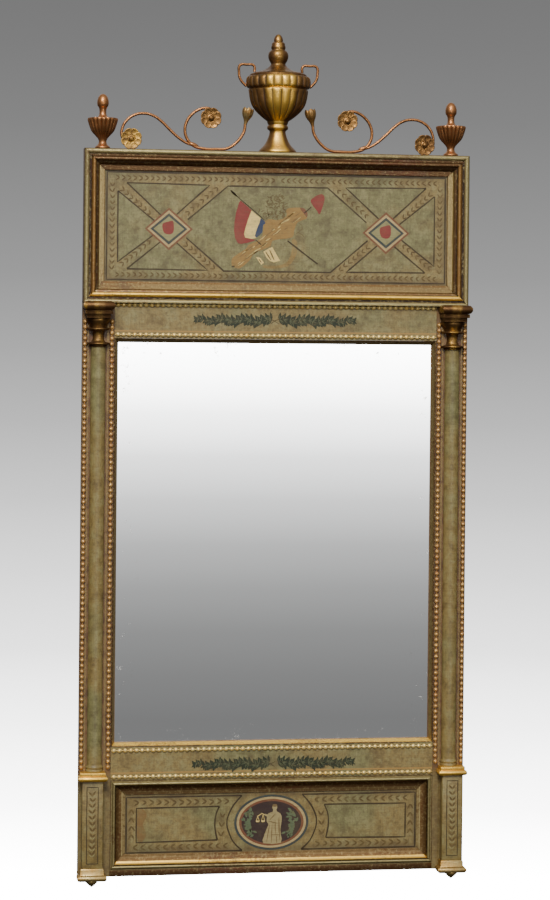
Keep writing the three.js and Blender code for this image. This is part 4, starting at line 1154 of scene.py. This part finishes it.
def paint_trophy():
    """A bundle of arms with a flag, staves and sprigs."""
    face = UPPER_FACE
    sprigs = Brush(face, 2)
    for i in range(96):
        u, v = (i * 0.618034) % 1.0, (i * i * 0.137 + i * 0.29) % 1.0
        at = (-20 + 34 * u, 1114 + 40 * v * (1 - 1.4 * (u - 0.5) ** 2))
        sprigs.leaf(at, 90 + 70 * math.sin(i * 1.9), 6.2, 2.2 + math.sin(i))
    for i in range(14):
        at = (-34 + 2.6 * i, 1122 - 1.1 * i + 5 * math.sin(i))
        sprigs.leaf(at, 60 + 40 * math.sin(i * 2.0), 6.5, 2.0)
    sprigs.stroke([(35.7, 1106.5), (41.5, 1103.7), (42.2, 1096.6), (35.7, 1090.8), (31.4, 1088.6)], 1.4,
                  taper=True)
    sprigs.stroke([(35.7, 1090.8), (42.9, 1086.6), (45.8, 1082.4)], 1.6, taper=True)
    sprigs.done("trophy_foliage", "sprig")

    coat("trophy_bundle", "tan", 3,
         [(-77, 1031), (-78.6, 1040), (-75, 1047.5), (-54.8, 1060.7), (-50, 1068), (-37.6, 1073.8),
          (-26, 1084), (-24.7, 1099.7), (-23.2, 1106.9), (-14.6, 1112.7), (-0.2, 1110.6), (15, 1118),
          (14.2, 1127.5), (19.9, 1131.9), (40, 1133), (42.9, 1129.4), (50, 1119.6), (48.7, 1113.8),
          (34.3, 1107.9), (28.5, 1093.5), (25.7, 1082.1), (5.5, 1078.8), (-8.8, 1075.7), (-11.7, 1067.1),
          (-23.2, 1061.2), (-40.5, 1053.8), (-46.2, 1043.7), (-54.8, 1035), (-64.9, 1027.7),
          (-71, 1029)], smooth=2)
    coat("trophy_ribbon", "ribbon", 3,
         [(25, 1079), (33, 1076), (34.3, 1066), (33, 1054), (28, 1044), (18.5, 1033), (-3, 1028.4),
          (-23, 1029.4), (-23, 1034), (-3, 1033.4), (13, 1037.6), (21, 1047), (25, 1062)], smooth=3)
    # Brush marks along the bundle, lighter and darker.
    for name, finish, count, turn in (("shades", "rod", 26, 0.31), ("lights", "pale tan", 18, 0.77)):
        dabs = Brush(face, 4)
        for i in range(count):
            along, aside = (i * 0.618034 + turn) % 1.0, 8.5 * math.sin(i * i * 1.3 + turn * 9)
            x, h, reach = -66 + 104 * along, 1040 + 84 * along + aside, 4.5 + 2.5 * math.sin(i * 2.7)
            dab = [(x - reach, h - reach * 0.7), (x, h), (x + reach, h + reach * 0.8)]
            dabs.stroke(dab, 1.9, 1.0, taper=True)
        dabs.done("trophy_" + name, finish)

    staff = Brush(face, 5)
    staff.stroke([(-81.5, 1160.4), (-70, 1149.8)], 4.0, taper=True)
    for points, width in (([(-80, 1158.7), (-60, 1141.8), (-23, 1111)], 1.7),
                          ([(-37.6, 1076.7), (-28, 1069)], 1.6), ([(17, 1076.2), (69.5, 1037.2)], 2.6),
                          ([(45.8, 1123.8), (57.5, 1134)], 2.4), ([(-78, 1031), (-73, 1031.6)], 3.0)):
        staff.stroke(points, width)
    staff.done("trophy_staves", "line")
    coat("trophy_knob", "worn red", 4,
         [(38, 1132), (45.8, 1131.4), (51, 1123.9), (50, 1117), (45.6, 1121.7)], smooth=3)

    coat("trophy_red", "red", 4,
         [(-66.3, 1140.4), (-71.4, 1123.2), (-74.2, 1106), (-74.7, 1091.7), (-72.8, 1078.9),
          (-67.8, 1070.7), (-62, 1069.4), (-52, 1071.6), (-41.9, 1074.4), (-37.6, 1076.7), (-46.2, 1078.8),
          (-55.6, 1080.5), (-57.6, 1086.9), (-54.6, 1098.8), (-50.4, 1112.6), (-45, 1127.1),
          (-63.5, 1142.6)],
         curved([(56.6, 1146.1), (67.3, 1154.1), (76, 1156.4), (80.3, 1151.5), (79.6, 1142.9), (76, 1131.4),
                 (71.9, 1122.1), (67.3, 1128.4), (60.2, 1136.9)], 3, closed=True))
    coat("trophy_cream", "cream", 3,
         [(-47.4, 1127.8), (-40.5, 1122.9), (-28.4, 1113), (-29.6, 1106.8), (-33, 1098.1), (-36.6, 1086.6),
          (-36, 1080.2), (-47.7, 1077.6), (-58, 1079.3), (-60, 1086.3), (-57.6, 1096.3), (-53.6, 1110.7)])
    coat("trophy_blue", "blue", 4,
         [(-29.6, 1113.6), (-23.6, 1109.8), (-20.6, 1105.5), (-25, 1102.3), (-26.4, 1089.7),
          (-31.1, 1084.6), (-36.9, 1080.3), (-39, 1083.8), (-37.6, 1089.5), (-34.7, 1098.1),
          (-31.1, 1106.8)])
    coat("trophy_paper", "cream", 4,
         [(-24, 1057), (-16, 1062.1), (-8.8, 1065), (-0.2, 1050.2), (5, 1042), (-6, 1039), (-12, 1041),
          (-18.5, 1047.1)],
         [(-37, 1048), (-30, 1047), (-23, 1038.4), (-27.5, 1034.5), (-32, 1041)])
    bars = Brush(face, 5)
    for bar in ([(-20.3, 1057), (-11, 1043)], [(-13.6, 1060), (-5.4, 1043)],
                [(-31.6, 1044), (-27.6, 1038.6)]):
        bars.stroke(bar, 3.0, taper=True)
    bars.done("trophy_bars", "leaf")


FIVES = 24                # fives of leaves on a spray
LEANS = ((64, 12.4), (34, 12.0), (4, 8.0), (-32, 12.0), (-62, 12.4))    # of five leaves, and their reach
# Height of each frieze's middle, and where its two sprays start and end.
SPRAYS = {
    "upper": (940.0, ((-9.35, -142.75), (2.65, 136.05))),
    "lower": (189.2, ((-6, -138.4), (8.2, 140.6))),
}


def spray(brush, light, stem, start, end, height):
    """A laurel branch: a waving stem with leaves in fives that lean the way it grows."""
    way = 1 if end > start else -1
    step = (end - start) / FIVES
    points = [(start + step * i, height + 2.2 * math.sin(i * 0.9)) for i in range(FIVES + 1)]
    stem.stroke(points, 0.9)
    for i, (x, h) in enumerate(points[1:]):
        size = 1.04 - 0.42 * (i / FIVES) ** 3
        for lean, reach in LEANS:
            turn = lean + 18 * math.sin(i * 2.1 + lean)
            angle = turn if way > 0 else 180 - turn
            reach *= size
            brush.leaf((x - way * 5, h), angle, reach, 4.8 * size)
            if (i + lean) % 3:
                light.leaf((x - way * 4, h), angle + 20 * math.sin(i + lean), reach * 0.75, 1.1 * size)


def paint_friezes():
    """Two laurel sprays on each frieze, from a tie in the middle."""
    for name, (height, ends) in SPRAYS.items():
        stem = Brush(BOARD_FACE, 1)
        leaves, veins = Brush(BOARD_FACE, 2), Brush(BOARD_FACE, 3)
        for start, end in ends:
            spray(leaves, veins, stem, start, end, height)
        for sign in (-1, 1):
            tie = [(-4.5 - sign * 7, height - 5.5), (-4.5, height - 0.5), (-4.5 + sign * 8, height + 3)]
            stem.stroke(tie, 1.0)
        stem.done(f"{name}_spray_stems", "line")
        leaves.done(f"{name}_spray_leaves", "laurel")
        veins.done(f"{name}_spray_veins", "laurel light")


PANEL_MIDDLE = (-0.8, 88.0)


def paint_lower_panel():
    """Two lined fields and the medallion between them."""
    face = LOWER_FACE
    thin = sizes().line_width
    fields, lines, leaves = Brush(face, 1), Brush(face, 2), Brush(face, 2)
    for flip in (list, mirrored):
        waist = [(-52, 134.4), (-66, 118), (-75, 100), (-77, 88), (-75, 76), (-66, 56), (-51, 41.2)]
        lines.stroke(flip([(-52, 134.4), (-248, 134.4), (-248, 41), (-51, 41.2)]), thin)
        lines.stroke(flip(curved(waist, 3)), thin)
        scoop = curved([(-90, 116.6), (-95.6, 104), (-97.6, 88.6), (-96.4, 74), (-93.2, 60)], 3)
        fields.shape(flip([(-231, 116.0), *scoop, (-231, 58)]))
        lines.stroke(flip([(-90, 116.6), (-231, 116.0), (-231, 58), (-93.2, 60)]), thin)
        lines.stroke(flip(scoop), thin)
        for ends in ([(-238, 125.4), (-72, 125.4)], [(-72, 49.6), (-238, 49.6)],
                     [(-239.6, 60), (-239.6, 116)], [(-84.5, 112), (-87, 64)]):
            garland(leaves, *flip(ends), 12.4, 10.4, 3.4, 30)
    fields.done("lower_panel_fields", "low field")
    lines.done("lower_panel_lines", "line")
    leaves.done("lower_panel_leaves", "leaf")
    # A rubbed place at the left end, where the wood shows brown.
    coat("lower_panel_worn_place", "worn", 1.5,
         [(-229, 112.6), (-217, 112), (-214, 102), (-220, 88), (-214, 74), (-218, 62.6), (-229, 61.6)],
         smooth=3, face=face)
    paint_medallion(face)


def paint_medallion(face):
    """A draped figure with scales, between leaves, in oval rings."""
    x, h = PANEL_MIDDLE
    rings = (("slate", 63.8, 47.0), ("ring", 59.6, 43.2), ("worn red", 55.4, 39.6), ("night", 51.2, 35.8))
    for number, (finish, rx, rz) in enumerate(rings, 2):
        brush = Brush(face, number)
        brush.disc((x, h), rx, rz, 64)
        brush.done("medallion_" + finish.replace(" ", "_"), finish)
    foliage = Brush(face, 6)
    for sign in (-1, 1):
        for i in range(44):
            turn = math.radians(-44 + 84 * ((i * 0.618) % 1.0))
            reach = 0.70 + 0.25 * ((i * 0.37) % 1.0)
            at = (x + sign * 49 * reach * math.cos(turn), h + 35 * reach * math.sin(turn))
            foliage.leaf(at, 180 + sign * 20 + 60 * math.sin(i * 1.7), 8, 3.6)
    foliage.done("medallion_foliage", "foliage")
    robe = Brush(face, 7)
    robe.shape([(-14.3, 52.6), (-13.6, 64), (-10.7, 72.4), (-7.2, 81), (-6, 85.2), (-8.9, 89.4),
                (-8.6, 97.2), (-5.8, 103.4), (1.3, 105.7), (2.0, 109.3), (7.6, 109.3), (8.4, 106.2),
                (14.6, 102.4), (17, 95.1), (16, 85.2), (14.8, 75.2), (15.4, 66.7), (15.4, 52.6)], 2)
    robe.shape([(-8, 97), (-11.6, 99.4), (-13.2, 101.6), (-11.4, 102.4), (-6, 101)])
    robe.disc((4.8, 113.4), 4.2, 5.2, 20)
    robe.done("figure_robe", "robe")
    folds = Brush(face, 8)
    for fold in ([(-4, 84), (-9, 54)], [(0.4, 84), (-0.6, 53)], [(5.4, 92), (6.4, 68)],
                 [(11, 96), (11.6, 70)], [(0, 67), (14.8, 66)], [(13.6, 98), (13.2, 56)],
                 [(6, 102), (-4, 92)], [(8, 64), (8.4, 53)], [(-6, 90), (10, 86)]):
        folds.stroke(fold, 1.7, taper=True)
    folds.disc((4.8, 116.4), 4.2, 2.5, 16)
    folds.done("figure_folds", "robe shade")
    scales = Brush(face, 8)
    scales.stroke([(-25.4, 98.2), (-17.1, 103.4), (-11.8, 100.6)], 1.3)
    for left, top in ((-24.4, 98.4), (-15.2, 101.6)):
        scales.stroke([(left, top), (left - 2.6, 91)], 0.8, 0)
        scales.stroke([(left, top), (left + 2.6, 91)], 0.8, 0)
        scales.shape([(left - 3.4, 91.4), (left + 3.4, 91.4), (left + 2.2, 88.6), (left - 2.2, 88.6)])
    scales.done("figure_scales", "cream")


def paint_plinths():
    """A lined panel with a hanging row of leaves on each plinth."""
    for side, _ in SIDES:
        low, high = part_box(f"plinth_{side}")
        centre = (low.x + high.x) / 2 / MM
        bottom, top = low.z / MM - FOOT_Z, high.z / MM - FOOT_Z
        lines = Brush(PLINTH_FACE)
        x0, x1, h0, h1 = centre - 9.4, centre + 9.4, bottom + 8, top - 9
        lines.stroke([(x0, h0), (x1, h0), (x1, h1), (x0, h1), (x0, h0)], 1.5)
        lines.done(f"plinth_line_{side}", "line")
        leaves = Brush(PLINTH_FACE)
        garland(leaves, (centre, h1 - 5), (centre, h0 + 14), 9.3, 9.0, 3.4, 40)
        leaves.done(f"plinth_leaves_{side}", "leaf")
        lights = Brush(PLINTH_FACE, 2)
        garland(lights, (centre, h1 - 9), (centre, h0 + 10), 9.3, 7.0, 1.8, 44)
        lights.done(f"plinth_lights_{side}", "pale")


# ---------------------------------------------------------------- what a user may change


def colour_setting(name, description, default):
    return bpy.props.FloatVectorProperty(name=name, description=description, default=default,
                                         subtype="COLOR", size=3, min=0.0, max=1.0)


class MirrorSizes(bpy.types.PropertyGroup):
    """Sizes that don't move anything on the mirror."""
    bead_radius: bpy.props.FloatProperty(
        name="Pearl radius", description="Radius of one pearl bead", default=0.004, unit="LENGTH")
    line_width: bpy.props.FloatProperty(
        name="Line width", description="Width of the painted lines, in millimetres", default=2.5)
    urn_flatness: bpy.props.FloatProperty(
        name="Urn flatness", description="Depth of the urn as a share of its half width",
        default=0.859, subtype="FACTOR", min=0.1, max=1.0)
    rosette_petals: bpy.props.IntProperty(
        name="Petals", description="Petals of each rosette", default=8, min=5, max=12)


class MirrorColours(bpy.types.PropertyGroup):
    """Colours of the paint and the gilding."""
    sage_ground: colour_setting("Sage", "Greenest patches of the ground", (0.218, 0.202, 0.076))
    ochre_ground: colour_setting("Ochre", "Yellowed patches of the ground", (0.290, 0.208, 0.066))
    pale_ground: colour_setting("Pale sage", "Thick patches of the ground", (0.335, 0.302, 0.128))
    brown_ground: colour_setting("Brown", "Dirt and rubbed wood", (0.075, 0.046, 0.018))
    # This tone is dirt and painted shade in the quirks, between lobes and round the pearls' feet.
    soot: colour_setting("Soot", "Dirt in the quirks", (0.022, 0.011, 0.005))
    old_bole: colour_setting("Bole", "Red clay under the leaf", (0.120, 0.030, 0.012))
    dark_gilt: colour_setting("Dark gilt", "Toned and dirty gilding", (0.105, 0.050, 0.018))
    brown_gilt: colour_setting("Brown gilt", "Rubbed gilding of the coves", (0.190, 0.105, 0.036))
    olive_gilt: colour_setting("Olive gilt", "Painted rolls of the mouldings", (0.330, 0.270, 0.115))
    # This tone is painted shade on the flanks of the urn and lid.
    shaded_flank_gilt: colour_setting("Flank gilt", "Smoked sides of the urn", (0.200, 0.092, 0.042))
    amber_gilt: colour_setting("Amber gilt", "Gilt beads of the mouldings and petals", (0.300, 0.155, 0.045))
    tan_gilt: colour_setting("Tan gilt", "Fillets of the mouldings", (0.300, 0.215, 0.085))
    pale_gilt: colour_setting("Pale gilt", "Greenish leaf of the feet and fillets", (0.560, 0.440, 0.190))
    worn_gold: colour_setting("Worn gold", "Thin leaf on the carving", (0.440, 0.245, 0.058))
    bright_gold: colour_setting("Bright gold", "Sound leaf on the carving", (0.880, 0.520, 0.095))
    pearl_gold: colour_setting("Pearl gold", "Leaf on the pearls", (1.000, 0.780, 0.300))
    glow_gold: colour_setting("Glow gold", "Brightest leaf, as on the urn", (1.000, 0.620, 0.110))
    rubbed_gold: colour_setting("Rubbed gold", "Leaf on the pearls of the stiles", (0.640, 0.380, 0.125))
    copper_gold: colour_setting("Copper gold", "Gilding on iron", (0.460, 0.200, 0.075))
    line: colour_setting("Line", "Fine dark lines", (0.042, 0.025, 0.009))
    leaf_band: colour_setting("Leaf", "Leaves in the borders", (0.105, 0.062, 0.018))
    laurel: colour_setting("Laurel", "Leaves of the sprays", (0.020, 0.030, 0.013))
    laurel_light: colour_setting("Laurel veins", "Light strokes on the sprays", (0.085, 0.105, 0.050))
    red: colour_setting("Red", "Flag and the middles of the lozenges", (0.270, 0.036, 0.030))
    worn_red: colour_setting("Worn red", "Frames, ring and knob gone brown", (0.200, 0.050, 0.026))
    cream: colour_setting("Cream", "Flag, papers and scales", (0.940, 0.690, 0.230))
    ring: colour_setting("Ring", "Light ring and light frames", (0.560, 0.400, 0.170))
    blue: colour_setting("Blue", "Flag", (0.028, 0.050, 0.115))
    tan: colour_setting("Tan", "Bundle and ribbon", (0.360, 0.205, 0.050))
    worn_brown: colour_setting("Worn wood", "Brown where the paint is rubbed", (0.230, 0.115, 0.035))
    slate: colour_setting("Slate", "Thin dark frames", (0.040, 0.056, 0.054))
    night: colour_setting("Night", "Ground of the medallion", (0.040, 0.020, 0.018))
    robe: colour_setting("Robe", "Draped figure", (0.430, 0.340, 0.150))
    robe_shade: colour_setting("Folds", "Folds of the robe", (0.200, 0.130, 0.050))
    foliage: colour_setting("Foliage", "Leaves in the medallion", (0.110, 0.160, 0.080))


class StageSettings(bpy.types.PropertyGroup):
    """Camera and light."""
    camera_place: bpy.props.FloatVectorProperty(
        name="Camera", description="Place of the lens", default=(-0.6164, -4.0343, -0.2683),
        subtype="TRANSLATION", unit="LENGTH")
    camera_turn: bpy.props.FloatProperty(
        name="Turn", description="Turn of the camera towards the right", default=0.1520, unit="ROTATION")
    camera_roll: bpy.props.FloatProperty(
        name="Roll", description="Tilt of the camera round its line of sight", default=0.0096,
        unit="ROTATION")
    focal_pixels: bpy.props.FloatProperty(
        name="Focal length", description="Focal length in pixels of the photograph's frame",
        default=2386.3)
    horizon_rise: bpy.props.FloatProperty(
        name="Horizon", description="Pixels from the middle of the frame up to the horizon",
        default=107.3)
    key_power: bpy.props.FloatProperty(
        name="Key light", description="Soft light high above the camera", default=265.0, unit="POWER")
    air_light: bpy.props.FloatProperty(
        name="Air", description="Soft light from all round", default=1.0, min=0.0)


# ---------------------------------------------------------------- operators


class PlaceCamera(bpy.types.Operator):
    """Set the camera at the photograph's viewing angle"""
    bl_idname = "trumeau.place_camera"
    bl_label = "Camera"

    def execute(self, context):
        s = context.scene.mirror_stage
        lens = bpy.data.cameras.new("camera")
        lens.sensor_width = SENSOR
        lens.lens = s.focal_pixels / PHOTO_HEIGHT * SENSOR
        lens.shift_y = -s.horizon_rise / PHOTO_HEIGHT
        lens.clip_end = 100
        camera = bpy.data.objects.new("camera", lens)
        camera.matrix_world = (
            Matrix.Translation(s.camera_place) @ Matrix.Rotation(-s.camera_turn, 4, "Z")
            @ Matrix.Rotation(math.pi / 2, 4, "X") @ Matrix.Rotation(s.camera_roll, 4, "Z"))
        context.collection.objects.link(camera)
        context.scene.camera = camera
        return {"FINISHED"}


def hang_key_light(power):
    """A soft rectangle of light high above the camera."""
    light = bpy.data.lights.new("key_light", "AREA")
    light.shape, light.size, light.size_y = "RECTANGLE", *KEY_SIZE
    light.energy, light.color = power, KEY_COLOUR
    lamp = bpy.data.objects.new("key_light", light)
    lamp.location = KEY_PLACE
    lamp.rotation_euler = (Vector(KEY_TARGET) - Vector(KEY_PLACE)).to_track_quat("-Z", "Y").to_euler()
    bpy.context.collection.objects.link(lamp)


REFLECTED = (-2.34, -0.177)      # heights that the glass reflects from its foot and its top
REFLECTED_LIGHT = (14, 9.7, 4.5, 2.1, 1.15, 0.67, 0.44, 0.305, 0.24, 0.20)
# Brightness of the air against how far the line of sight rises: first as seen, then as it lights.
SEEN_AIR = [(-0.222, 18), (-0.19, 8.6), (-0.158, 4.8), (-0.127, 2.6), (-0.096, 1.70), (-0.065, 1.08),
            (-0.034, 0.72), (-0.003, 0.51), (0.028, 0.375), (0.060, 0.302), (0.092, 0.244), (0.123, 0.212),
            (0.155, 0.190)]
LIT_AIR = [(-1.0, 0.03), (-0.30, 0.10), (0.0, 0.34), (0.30, 0.75), (0.65, 1.60), (1.0, 1.80)]
# The same from in front of the mirror to behind it.
LIT_ROUND = [(-1.0, 2.0), (-0.93, 1.25), (-0.75, 0.76), (-0.35, 0.34), (0.2, 0.14), (0.55, 0.30),
             (1.0, 0.90)]
# The key light, in metres.
KEY_PLACE, KEY_TARGET = (-1.2, -4.6, 3.2), (0, 0, -0.45)
KEY_SIZE, KEY_COLOUR = (2.0, 1.2), (1.0, 0.97, 0.92)
FLOOR_HEIGHT, FLOOR_RADIUS = -1.75, 2.0
# The card that the glass reflects: right of and before the mirror, half its width, and its margin.
CARD_PLACE, CARD_HALF_WIDTH, CARD_MARGIN = (1.4, -9.0), 1.25, 0.12


def stage_sheet(name, shape, place, **settings):
    """A flat thing beside the mirror, made by the bmesh operator of that name."""
    bm = bmesh.new()
    getattr(bmesh.ops, shape)(bm, matrix=place, **settings)
    return placed(bm, name)


def hang_air(strength):
    """Air that is seen grey above and white below, and lights the mirror softly from above."""
    world = bpy.data.worlds.new("air")
    bpy.context.scene.world = world
    world.use_nodes = True
    nodes, links = world.node_tree.nodes, world.node_tree.links
    nodes.clear()
    split = nodes.new("ShaderNodeSeparateXYZ")
    links.new(nodes.new("ShaderNodeTexCoord").outputs["Generated"], split.inputs[0])
    choice = nodes.new("ShaderNodeMixShader")
    links.new(nodes.new("ShaderNodeLightPath").outputs["Is Camera Ray"], choice.inputs[0])

    def tone_along(axis, tones):
        """A tone that changes along an axis, and its strongest light."""
        first, last = tones[0][0], tones[-1][0]
        strongest = max(light for _, light in tones)
        rise = nodes.new("ShaderNodeMapRange")
        rise.inputs[1].default_value, rise.inputs[2].default_value = first, last
        ramp = nodes.new("ShaderNodeValToRGB")
        elements = ramp.color_ramp.elements
        while len(elements) < len(tones):
            elements.new(1.0)
        for element, (height, light) in zip(elements, tones):
            element.position = (height - first) / (last - first)
            element.color = (*[light / strongest] * 3, 1.0)
        links.new(split.outputs[axis], rise.inputs[0])
        links.new(rise.outputs[0], ramp.inputs[0])
        return ramp.outputs[0], strongest

    lit, lit_power = tone_along("Z", LIT_AIR)
    seen, seen_power = tone_along("Z", SEEN_AIR)
    around, around_power = tone_along("Y", LIT_ROUND)
    both = nodes.new("ShaderNodeMix")
    both.data_type, both.blend_type = "RGBA", "MULTIPLY"
    both.inputs[0].default_value = 1.0
    links.new(lit, both.inputs[6])
    links.new(around, both.inputs[7])
    airs = ((1, both.outputs[2], lit_power * around_power * strength), (2, seen, seen_power))
    for socket, tone, power in airs:
        air = nodes.new("ShaderNodeBackground")
        air.inputs["Strength"].default_value = power
        links.new(tone, air.inputs["Color"])
        links.new(air.outputs[0], choice.inputs[socket])
    out = nodes.new("ShaderNodeOutputWorld")
    links.new(choice.outputs[0], out.inputs[0])


class SetStage(bpy.types.Operator):
    """Lay a pale floor, shade the air behind from grey to white and hang the soft lights"""
    bl_idname = "trumeau.set_stage"
    bl_label = "Stage and light"

    def execute(self, context):
        s = context.scene.mirror_stage
        floor = stage_sheet("floor", "create_circle", Matrix.Translation((0, 0, FLOOR_HEIGHT)),
                            radius=FLOOR_RADIUS, segments=96, cap_ends=True)
        paint = Finish("pale_floor")
        tone = paint.mix(paint.cloud(2, 2), (0.72, 0.72, 0.72), (0.78, 0.78, 0.78))
        floor.data.materials.append(paint.done(base_color=tone, roughness=0.8))
        floor.visible_diffuse = floor.visible_glossy = False

        # What the glass reflects: a card behind the camera, white above and grey below.
        low, high = REFLECTED
        place = (Matrix.Translation((*CARD_PLACE, (low + high) / 2)) @ Matrix.Rotation(math.pi / 2, 4, "X")
                 @ Matrix.Diagonal((CARD_HALF_WIDTH, (high - low) / 2 + CARD_MARGIN, 1, 1)))
        card = stage_sheet("reflection_card", "create_grid", place, x_segments=2, y_segments=8, size=1.0)
        card.visible_camera = card.visible_diffuse = card.visible_shadow = False
        glow = Finish("card_light")
        fall = (high - glow.axis("Z")) / (high - low)
        strongest = REFLECTED_LIGHT[0]
        stops = [(i / (len(REFLECTED_LIGHT) - 1), (light / strongest,) * 3)
                 for i, light in enumerate(REFLECTED_LIGHT)]
        tone = glow.node("ValToRGB", {"stops": stops}, [fall])
        card.data.materials.append(glow.done(base_color=(0, 0, 0), roughness=1.0, emission_color=tone,
                                             emission_strength=strongest / SILVER[0]))

        hang_air(s.air_light)
        hang_key_light(s.key_power)
        return {"FINISHED"}


class MakeBoards(bpy.types.Operator):
    """Paint the stiles, friezes and panels"""
    bl_idname = "trumeau.make_boards"
    bl_label = "Boards and panels"

    def execute(self, context):
        dress("stile", "stile_left", "stile_right")
        dress("upper frieze", "upper_frieze_board")
        dress("lower frieze", "lower_frieze_board")
        dress("upper ground", "upper_panel")
        dress("lower ground", "lower_panel")
        return {"FINISHED"}


class MakeGlass(bpy.types.Operator):
    """Silver the mirror plate and finish the board behind it"""
    bl_idname = "trumeau.make_glass"
    bl_label = "Glass"

    def execute(self, context):
        dress("glass", "mirror_glass")
        dress("card", "backing_board")
        return {"FINISHED"}


class MakeMouldings(bpy.types.Operator):
    """Run and mitre the mouldings of the box, the glass and the lower panel"""
    bl_idname = "trumeau.make_mouldings"
    bl_label = "Mouldings"

    def execute(self, context):
        back = -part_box("box_moulding_left")[1].y / MM
        moulding_frame("box_moulding", box_outline(), back)
        moulding_frame("panel_moulding", lower_outline(), back, bottom_strip)
        moulding_frame("sight_moulding", sight_outline(), -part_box("sight_moulding_left")[1].y / MM)
        return {"FINISHED"}


class MakeBeads(bpy.types.Operator):
    """Carve the pearl-bead rows"""
    bl_idname = "trumeau.make_beads"
    bl_label = "Pearl beads"

    def execute(self, context):
        for side, _ in SIDES:
            for row in ("outer", "inner"):
                bead_row(f"beads_{side}_{row}", STILE_BEADS, "dim bead")
        for frieze in ("upper", "lower"):
            for row in ("top", "bottom"):
                bead_row(f"beads_{frieze}_frieze_{row}", FRIEZE_BEADS, "bead")
        return {"FINISHED"}


class MakeColumns(bpy.types.Operator):
    """Turn the half columns and their capitals, and round off the blocks and mouldings"""
    bl_idname = "trumeau.make_columns"
    bl_label = "Columns"

    def execute(self, context):
        for side, _ in SIDES:
            shaft, capital = f"column_shaft_{side}", f"capital_{side}"
            low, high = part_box(shaft)
            centre = middle_of(shaft).x
            bm = bmesh.new()
            turned(bm, shaft_outline((high.z - low.z) / MM), 32, half=True)
            moved(bm, bm.verts, Matrix.Translation((centre, high.y, low.z)))
            settle(bm, f"shaft_{side}", "shaft", [shaft], 50)
            low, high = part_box(capital)
            bm = bmesh.new()
            turned(bm, CAPITAL_OUTLINE, 40, half=True)
            moved(bm, bm.verts, Matrix.Translation((centre, high.y, low.z)))
            settle(bm, capital + "_turned", f"capital {side}", [capital], 50)
            softened(f"abacus_{side}", f"capital {side}", 0.5)
            softened(f"plinth_cap_{side}", "bright", 0.3)
            softened(f"plinth_base_{side}", "foot", 0.3)
            softened(f"plinth_{side}", "plinth", 0.6)
        paint_plinths()
        return {"FINISHED"}


class MakeUrn(bpy.types.Operator):
    """Turn, flute and gild the urn and bend its handles"""
    bl_idname = "trumeau.make_urn"
    bl_label = "Urn"

    def execute(self, context):
        urn_part("urn_foot", URN_FOOT, "urn")
        urn_part("urn_bowl", URN_BOWL, "urn", BOWL_LOBES)
        urn_part("urn_lid", URN_LID, "lid")
        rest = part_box("urn_lid")[0].z / MM
        for side, sign in SIDES:
            out = middle_of(f"urn_handle_{side}").y / MM
            line = [(sign * x, out, rest + z) for x, z in HANDLE_LINE]
            settle(tube(line, HANDLE_WIRE), f"handle_{side}", "iron", [f"urn_handle_{side}"], 50)
        return {"FINISHED"}


class MakeFinials(bpy.types.Operator):
    """Turn and flute the covered cup at each corner"""
    bl_idname = "trumeau.make_finials"
    bl_label = "Corner finials"

    def execute(self, context):
        for side, _ in SIDES:
            node = f"corner_finial_{side}"
            centre = middle_of(node)
            bm = bmesh.new()
            flute(turned(bm, FINIAL, 144), *CUP_LOBES)
            moved(bm, bm.verts, Matrix.Translation((centre.x, centre.y, BOX_TOP * MM)))
            settle(bm, node + "_turned", "cup", [node], 50)
        return {"FINISHED"}


class MakeScrolls(bpy.types.Operator):
    """Bend the wire scrolls and set the rosettes on them"""
    bl_idname = "trumeau.make_scrolls"
    bl_label = "Scrolls and rosettes"

    def execute(self, context):
        for side, sign in SIDES:
            scroll(side, sign)
            for place in ("inner", "outer"):
                rosette(f"rosette_{place}_{side}")
        return {"FINISHED"}


class PaintPanels(bpy.types.Operator):
    """Paint the borders, lozenges, trophy, sprays and medallion"""
    bl_idname = "trumeau.paint_panels"
    bl_label = "Painting"

    def execute(self, context):
        paint_upper_panel()
        paint_trophy()
        paint_friezes()
        paint_lower_panel()
        return {"FINISHED"}


class MakeBack(bpy.types.Operator):
    """Finish the bare wood of the back and the steel of the eyes and rings"""
    bl_idname = "trumeau.make_back"
    bl_label = "Back"

    def execute(self, context):
        dress("wood", "back_batten_left", "back_batten_right")
        dress("rail", "hanging_rail")
        dress("steel", "screw_eye_left", "screw_eye_right", "hanging_ring_left", "hanging_ring_right")
        return {"FINISHED"}


STEPS = (PlaceCamera, SetStage, MakeBoards, MakeGlass, MakeMouldings, MakeBeads, MakeColumns, MakeUrn,
         MakeFinials, MakeScrolls, PaintPanels, MakeBack)


class TrumeauPanel(bpy.types.Panel):
    """The steps and settings of the mirror"""
    bl_idname = "VIEW3D_PT_trumeau"
    bl_label = "Trumeau mirror"
    bl_space_type = "VIEW_3D"
    bl_region_type = "UI"
    bl_category = "Trumeau mirror"

    def draw(self, context):
        for step in STEPS:
            self.layout.operator(step.bl_idname)
        for group in (context.scene.mirror_sizes, context.scene.mirror_colours, context.scene.mirror_stage):
            box = self.layout.box()
            for name in group.__annotations__:
                box.prop(group, name)


CLASSES = (MirrorSizes, MirrorColours, StageSettings, *STEPS, TrumeauPanel)


def register():
    for one in CLASSES:
        bpy.utils.register_class(one)
    bpy.types.Scene.mirror_sizes = bpy.props.PointerProperty(type=MirrorSizes)
    bpy.types.Scene.mirror_colours = bpy.props.PointerProperty(type=MirrorColours)
    bpy.types.Scene.mirror_stage = bpy.props.PointerProperty(type=StageSettings)


def unregister():
    del bpy.types.Scene.mirror_sizes, bpy.types.Scene.mirror_colours, bpy.types.Scene.mirror_stage
    for one in reversed(CLASSES):
        bpy.utils.unregister_class(one)


def main():
    """Makes the whole mirror."""
    register()
    for step in STEPS:
        group, name = step.bl_idname.split(".")
        getattr(getattr(bpy.ops, group), name)()
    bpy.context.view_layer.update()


if __name__ == "__main__":
    main()
